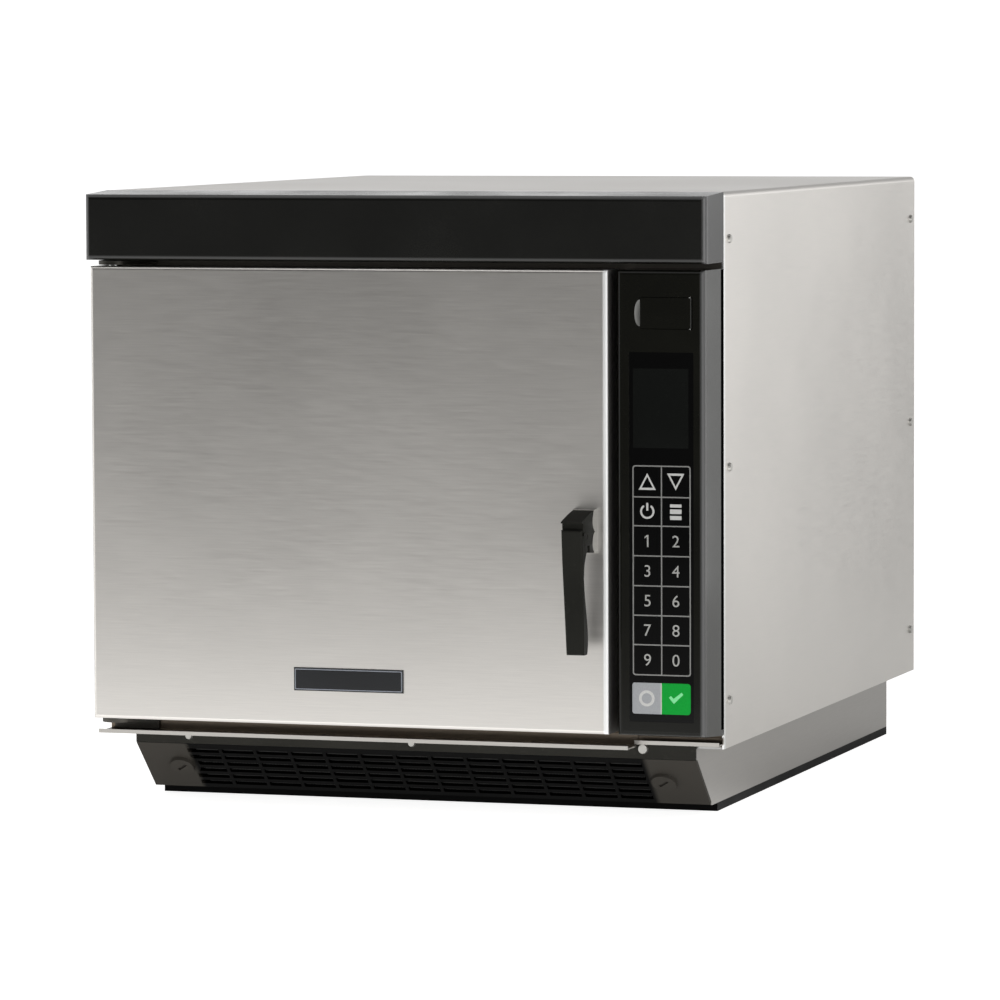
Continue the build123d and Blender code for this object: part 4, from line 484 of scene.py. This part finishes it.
def arc_band(u, v, outer, inner, start, end, steps=40):
    """A ring's outline between two angles in degrees, as one closed loop."""
    angles = [math.radians(start + (end - start) * step / steps) for step in range(steps + 1)]
    return ([(u + outer * math.cos(a), v + outer * math.sin(a)) for a in angles]
            + [(u + inner * math.cos(a), v + inner * math.sin(a)) for a in reversed(angles)])


def triangle(u, v, half, tall, turn):
    """An arrowhead's outline, its point up for a turn of 1 and down for -1."""
    return [(u - half, v - turn * tall / 2), (u + half, v - turn * tall / 2), (u, v + turn * tall / 2)]


def outline_at(points, u, v):
    """An outline given in mm, moved to u and v."""
    return [(u + across * MM, v + upward * MM) for across, upward in points]


# Key legends on the overlay. Rows are heights above the cabinet's floor and columns are distances right of its
# middle, in mm.

CABINET_Z = 54 * MM
PRINT, LINE = 0.06 * MM, 0.95 * MM
KEY_ROWS = (214.1, 191.2, 169.8, 147.6, 125.4, 103.5, 81.7, 59.4)
KEY_COLUMNS = (188.3, 210.1, 232.0)
BLOCK_ROWS, BLOCK_COLUMNS = (30.4, 53.5), (187.5, 209.7, 232.3)
SCREEN_ROWS, SCREEN_COLUMNS = (227.4, 286.0), (188.4, 230.8)
GRID_CORNER, KEY_CORNER, STOP_CORNER, START_CORNER, SCREEN_CORNER = (
    2.2 * MM, 1.6 * MM, 1.8 * MM, 2.4 * MM, 0.6 * MM)
NUMBER_TALL = 9.0 * MM
ONE = ((0.9, -4.5), (0.9, 4.5), (-0.2, 4.5), (-2.1, 3.0), (-2.1, 1.8), (-0.3, 3.0), (-0.3, -4.5))
TICK = ((-1.6, -3.6), (5.6, 3.4), (4.3, 5.0), (-1.8, 0.2), (-3.9, 2.3), (-5.4, 0.9))
# Half width and height of the arrows' outer and inner outlines, and how far the inner one sits off the middle
ARROW_OUT, ARROW_IN, ARROW_SINK = (6.6 * MM, 12.4 * MM), (4.3 * MM, 8.2 * MM), 0.5 * MM
# Outer and inner radius, first and last angle of the open and the closed ring, and the closed one's steps
POWER_RING, STOP_RING = (5.5 * MM, 4.0 * MM, 122, 418), (6.0 * MM, 3.9 * MM, 0, 359.9, 60)
# Column, half width, low and high of the stem in the open ring and of three bars, in mm
SIGN_BARS = ((0, 0.8, 0.6, 6.4), (1, 4.4, -5.9, -2.9), (1, 4.4, -1.5, 1.9), (1, 4.4, 3.3, 5.6))
BAR_CORNER, SPLIT, SPLIT_CORNER = 0.3 * MM, 0.4 * MM, 0.1 * MM

film_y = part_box("key_overlay")[0].y


def printed(name, loops, material, y=film_y, thick=PRINT):
    """A print on the glossy overlay."""
    piece(name, flat_mesh(name, loops, y, thick), material, "cabinet")


rows = [CABINET_Z + height * MM for height in KEY_ROWS]
key_left, key_mid, key_right = (place * MM for place in KEY_COLUMNS)
edge = LINE / 2
grid = [rounded(key_left - edge, key_right + edge, rows[-1] - edge, rows[0] + edge, GRID_CORNER)]
for high, low in zip(rows, rows[1:]):
    for left, right in ((key_left, key_mid), (key_mid, key_right)):
        soft = (int(low == rows[-1] and left == key_left), int(low == rows[-1] and left == key_mid),
                int(high == rows[0] and left == key_mid), int(high == rows[0] and left == key_left))
        grid.append(rounded(left + edge, right - edge, low + edge, high - edge, KEY_CORNER, soft))
printed("key_grid", grid, print_light)

columns = ((key_left + key_mid) / 2, (key_mid + key_right) / 2)
middles = [(high + low) / 2 for high, low in zip(rows, rows[1:])]
digits = []
for middle, pair in zip(middles[2:], ("12", "34", "56", "78", "90")):
    for column, text in zip(columns, pair):
        if text == "1":
            digits.append(flat_mesh("digit_1", [outline_at(ONE, column, middle)], film_y, PRINT))
        else:
            digits.append(digit_mesh("digit_" + text, text, column, middle, NUMBER_TALL, film_y, PRINT))
piece("key_numbers", joined("key_numbers", digits), print_soft, "cabinet")

signs = []
for column, turn in zip(columns, (1, -1)):
    signs.append(triangle(column, middles[0], *ARROW_OUT, turn))
    signs.append(triangle(column, middles[0] - turn * ARROW_SINK, *ARROW_IN, turn))
signs.append(arc_band(columns[0], middles[1], *POWER_RING))
for index, half, low, high in SIGN_BARS:
    signs.append(rounded(columns[index] - half * MM, columns[index] + half * MM, middles[1] + low * MM,
                         middles[1] + high * MM, BAR_CORNER))
printed("key_signs", signs, print_white)

block_low, block_high = (CABINET_Z + height * MM for height in BLOCK_ROWS)
block_left, block_mid, block_right = (place * MM for place in BLOCK_COLUMNS)
block_z = (block_low + block_high) / 2
stop = rounded(block_left, block_mid - SPLIT, block_low, block_high, STOP_CORNER, (1, 0, 0, 1))
printed("stop_key", [stop], key_grey)
start = rounded(block_mid + SPLIT, block_right, block_low, block_high, START_CORNER, (0, 1, 1, 0))
printed("start_key", [start], key_green)
split = rounded(block_mid - SPLIT, block_mid + SPLIT, block_low, block_high, SPLIT_CORNER)
ring = arc_band((block_left + block_mid) / 2, block_z, *STOP_RING)
printed("stop_sign", [ring, split], print_white, film_y - PRINT, PRINT / 2)
tick = outline_at(TICK, (block_mid + block_right) / 2, block_z)
printed("start_sign", [tick], key_mint, film_y - PRINT, PRINT / 2)

screen = rounded(*(place * MM for place in SCREEN_COLUMNS),
                 *(CABINET_Z + height * MM for height in SCREEN_ROWS), SCREEN_CORNER)
printed("screen_face", [screen], screen_black, thick=PRINT / 2)

# Light rim of the bare badge: the inset and the corner of its outer and inner outline

BADGE_RIM = ((0.9 * MM, 0.8 * MM), (1.6 * MM, 0.6 * MM))

badge_low, badge_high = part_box("badge_plate")
rim = [rounded(badge_low.x + inset, badge_high.x - inset, badge_low.z + inset, badge_high.z - inset, corner)
       for inset, corner in BADGE_RIM]
piece("badge_rim", flat_mesh("badge_rim", rim, badge_low.y, PRINT), badge_steel, "door")

# Latch spring: a coil of round wire in place of the CAD spring, riding the door

SPRING_WIRE, SPRING_TURNS = 0.6 * MM, 6

spring_low, spring_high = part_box("latch_spring")
spring_mid = (spring_low + spring_high) / 2


def coil_mesh(name, middle, low, high, outer, wire, turns, around=24, sides=8):
    """A round wire wound upright from low to high."""
    steps = turns * around
    path = outer - wire
    points, faces = [], []
    for step in range(steps + 1):
        turn = 2 * math.pi * step / around
        z = low + wire + (high - low - 2 * wire) * step / steps
        for side in range(sides):
            lean = 2 * math.pi * side / sides
            reach = path + wire * math.cos(lean)
            points.append((middle.x + reach * math.cos(turn), middle.y + reach * math.sin(turn),
                           z + wire * math.sin(lean)))
    for step in range(steps):
        for side in range(sides):
            a, b = step * sides + side, step * sides + (side + 1) % sides
            faces.append((a, a + sides, b + sides, b))
    faces.append(tuple(range(sides)))
    faces.append(tuple(steps * sides + side for side in reversed(range(sides))))
    return built_mesh(name, points, faces, smooth=True)


spring_outer = (spring_high.x - spring_low.x) / 2
spring_mesh = coil_mesh("spring_coil", spring_mid, spring_low.z, spring_high.z, spring_outer, SPRING_WIRE,
                        SPRING_TURNS)
spring = piece("spring_coil", spring_mesh, bright, "door")
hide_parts("latch_spring")
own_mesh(spring)

# Painted shadow on the panel's right side, just in front of the wrapper's edge: a thin matte black strip stands
# for the shade there. The strip's thickness, how far the side leans in over the panel's depth, the strip's ends
# as distances in front of the panel's back, and how far it stays off the panel's foot and top

SKIN, DRAFT = 0.05 * MM, 1.5 * MM
SHADOW_BACK, SHADOW_FRONT, SHADOW_LOW, SHADOW_HIGH = 0.3 * MM, 7.0 * MM, 5.0 * MM, 0.5 * MM


def side_strip(name, x_front, x_back, y_front, y_back, low, high):
    """A thin upright strip that lies on the right side of a front piece."""
    corners = [(x_front, y_front), (x_back, y_back), (x_back + SKIN, y_back), (x_front + SKIN, y_front)]
    points = [(x, y, z) for z in (low, high) for x, y in corners]
    faces = [(3, 2, 1, 0), (4, 5, 6, 7), (0, 1, 5, 4), (1, 2, 6, 5), (2, 3, 7, 6), (3, 0, 4, 7)]
    return built_mesh(name, points, faces)


bezel_low, bezel_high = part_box("control_bezel")
side_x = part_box("visor")[1].x
shadow_front = bezel_high.y - SHADOW_FRONT
share = (bezel_high.y - shadow_front) / (bezel_high.y - bezel_low.y)
shadow_strip = side_strip("bezel_shadow_strip", side_x - DRAFT * share, side_x, shadow_front, bezel_high.y - SHADOW_BACK,
                   bezel_low.z + SHADOW_LOW, bezel_high.z - SHADOW_HIGH)
piece("bezel_shadow_strip", shadow_strip, painted_shadow_black, "cabinet")

# Concave scoop in the finger notch beside the port's cover, its grey a painted highlight on the black moulding

SCOOP_RINGS, SCOOP_SPOKES = 6, 32
SCOOP_WIDE, SCOOP_TALL, SCOOP_DEEP = 3.9 * MM, 9.8 * MM, 1.5 * MM
SCOOP_SIDE, SCOOP_LIFT = 0.4 * MM, 0.02 * MM


def scoop_mesh(name, u, y, v):
    """A hollow oval, its rim at y and its middle at u and v."""
    points, faces = [(u, y + SCOOP_DEEP, v)], []
    for ring_index in range(1, SCOOP_RINGS + 1):
        reach = ring_index / SCOOP_RINGS
        for spoke in range(SCOOP_SPOKES):
            angle = 2 * math.pi * spoke / SCOOP_SPOKES
            points.append((u + SCOOP_WIDE * reach * math.cos(angle),
                           y + SCOOP_DEEP * (1 - reach * reach) + SCOOP_LIFT,
                           v + SCOOP_TALL * reach * math.sin(angle)))
    for ring_index in range(SCOOP_RINGS):
        outer = 1 + ring_index * SCOOP_SPOKES
        inner = outer - SCOOP_SPOKES
        for spoke in range(SCOOP_SPOKES):
            after = (spoke + 1) % SCOOP_SPOKES
            if ring_index == 0:
                faces.append((0, outer + after, outer + spoke))
            else:
                faces.append((inner + spoke, inner + after, outer + after, outer + spoke))
    return built_mesh(name, points, faces, smooth=True)


cover_low, cover_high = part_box("usb_cover")
notch = scoop_mesh("notch_scoop", cover_low.x - SCOOP_SIDE, cover_low.y, (cover_low.z + cover_high.z) / 2)
piece("notch_scoop", notch, scoop_highlight_grey, "cabinet")

# Floor: white paper. The oven sees it glow most just in front of itself, less far out and least behind, and
# the camera sees it bright all over.

FLOOR_SIDE, FLOOR_START, FLOOR_END = 30, -2.6, 60
FLOOR_FAR, FLOOR_NEAR, FLOOR_BACK, FLOOR_SEEN = 0.12, 1.5, 0.15, 0.9
FLOOR_RISE, FLOOR_FALL = (-1.3, -0.65), (-0.6, -0.05)
WHITE = (1.0, 1.0, 1.0)

corners = ((-FLOOR_SIDE, FLOOR_START, 0), (FLOOR_SIDE, FLOOR_START, 0), (FLOOR_SIDE, FLOOR_END, 0),
           (-FLOOR_SIDE, FLOOR_END, 0))
ground = built_mesh("floor_plane", corners, [(0, 1, 2, 3)])
floor = bpy.data.objects.new("floor_plane", ground)
scene.collection.objects.link(floor)
paper = Tree("studio_paper")
paper_tone = paper.mix(paper.spread(paper.noise(3.0), 0.0, 1.0), (0.58, 0.58, 0.57), (0.62, 0.62, 0.61))
depth = paper.parts(paper.place)["Y"]
near = paper.math("MINIMUM", paper.spread(depth, FLOOR_FAR, FLOOR_NEAR, *FLOOR_RISE),
                  paper.spread(depth, FLOOR_NEAR, FLOOR_BACK, *FLOOR_FALL))
direct = paper.add("ShaderNodeLightPath").outputs["Is Camera Ray"]
shown = paper.math("MAXIMUM", near, paper.math("MULTIPLY", direct, FLOOR_SEEN))
paper.set(Base_Color=paper_tone, Roughness=0.9, Emission_Color=WHITE, Emission_Strength=shown)
ground.materials.append(paper.material)

# Sky: white to the camera, and to the oven a soft light that is strongest low down, behind it and on its left.
# Each row gives an axis, the range of directions in which the light changes, and its level at both ends.

SKY_BEHIND = ("Y", (-0.55, 0.25), (0.17, 1.2))
SKY_RIGHT = ("X", (-0.35, 0.85), (1.15, 0.42))
SKY_OVERHEAD = ("Z", (0.08, 0.22), (1.0, 0.4))

world = bpy.data.worlds.new("studio")
scene.world = world
world.use_nodes = True
sky = Graph(world.node_tree)
direction = sky.parts(sky.add("ShaderNodeTexCoord").outputs["Generated"])
behind, right_side, overhead = (sky.spread(direction[axis], *levels, *places)
                                for axis, places, levels in (SKY_BEHIND, SKY_RIGHT, SKY_OVERHEAD))
level = sky.math("MULTIPLY", behind, sky.math("MULTIPLY", right_side, overhead))
seen = sky.math("MAXIMUM", level, sky.add("ShaderNodeLightPath").outputs["Is Camera Ray"])
background = sky.nodes["Background"].inputs
sky.feed(background["Strength"], seen)
sky.feed(background["Color"], WHITE)

# Lamps: each one's name, place, target, width, height and glow

LAMPS = (
    ("side_box", (1.3, 0.85, 0.45), (0.24, -0.05, 0.25), 1.5, 1.5, 0.79),
    ("edge_box", (1.85, -1.35, 0.55), (0.2, -0.3, 0.3), 1.4, 1.3, 2.0),
    ("left_box", (-2.1, -0.9, 0.55), (-0.2, -0.3, 0.3), 1.6, 1.3, 0.75),
    ("top_box", (-0.5, -0.6, 2.6), (0.0, 0.0, 0.2), 2.2, 2.2, 0.98),
)


def softbox(name, place, target, width, height, glow):
    """A rectangular lamp of the given brightness, turned to its target."""
    lamp = bpy.data.lights.new(name, "AREA")
    lamp.shape = "RECTANGLE"
    lamp.size = width
    lamp.size_y = height
    lamp.energy = glow * math.pi * width * height
    holder = bpy.data.objects.new(name, lamp)
    scene.collection.objects.link(holder)
    holder.location = place
    holder.rotation_euler = (Vector(target) - Vector(place)).to_track_quat("-Z", "Y").to_euler()
    holder.visible_camera = False


for lamp_values in LAMPS:
    softbox(*lamp_values)

# Camera, as fitted to the photo: its place in metres, its angles in degrees, its lens in millimetres

CAMERA_PLACE = (1.395, -4.4405, 0.561)
CAMERA_ANGLES = (17.74, 4.26, -0.217)
LENS, SENSOR, CLIP_END = 208.8, 36.0, 200.0

yaw, pitch, roll = (math.radians(angle) for angle in CAMERA_ANGLES)
look = Vector((-math.sin(yaw) * math.cos(pitch), math.cos(yaw) * math.cos(pitch), -math.sin(pitch)))
right = Vector((math.cos(yaw), math.sin(yaw), 0.0))
up = right.cross(look)
turned_right = right * math.cos(roll) + up * math.sin(roll)
turned_up = up * math.cos(roll) - right * math.sin(roll)
lens = bpy.data.cameras.new("camera")
lens.sensor_width = SENSOR
lens.lens = LENS
lens.clip_end = CLIP_END
camera = bpy.data.objects.new("camera", lens)
scene.collection.objects.link(camera)
turn = Matrix((turned_right, turned_up, -look)).transposed().to_4x4()
camera.matrix_world = Matrix.Translation(CAMERA_PLACE) @ turn
scene.camera = camera
scene.view_settings.view_transform = "Standard"
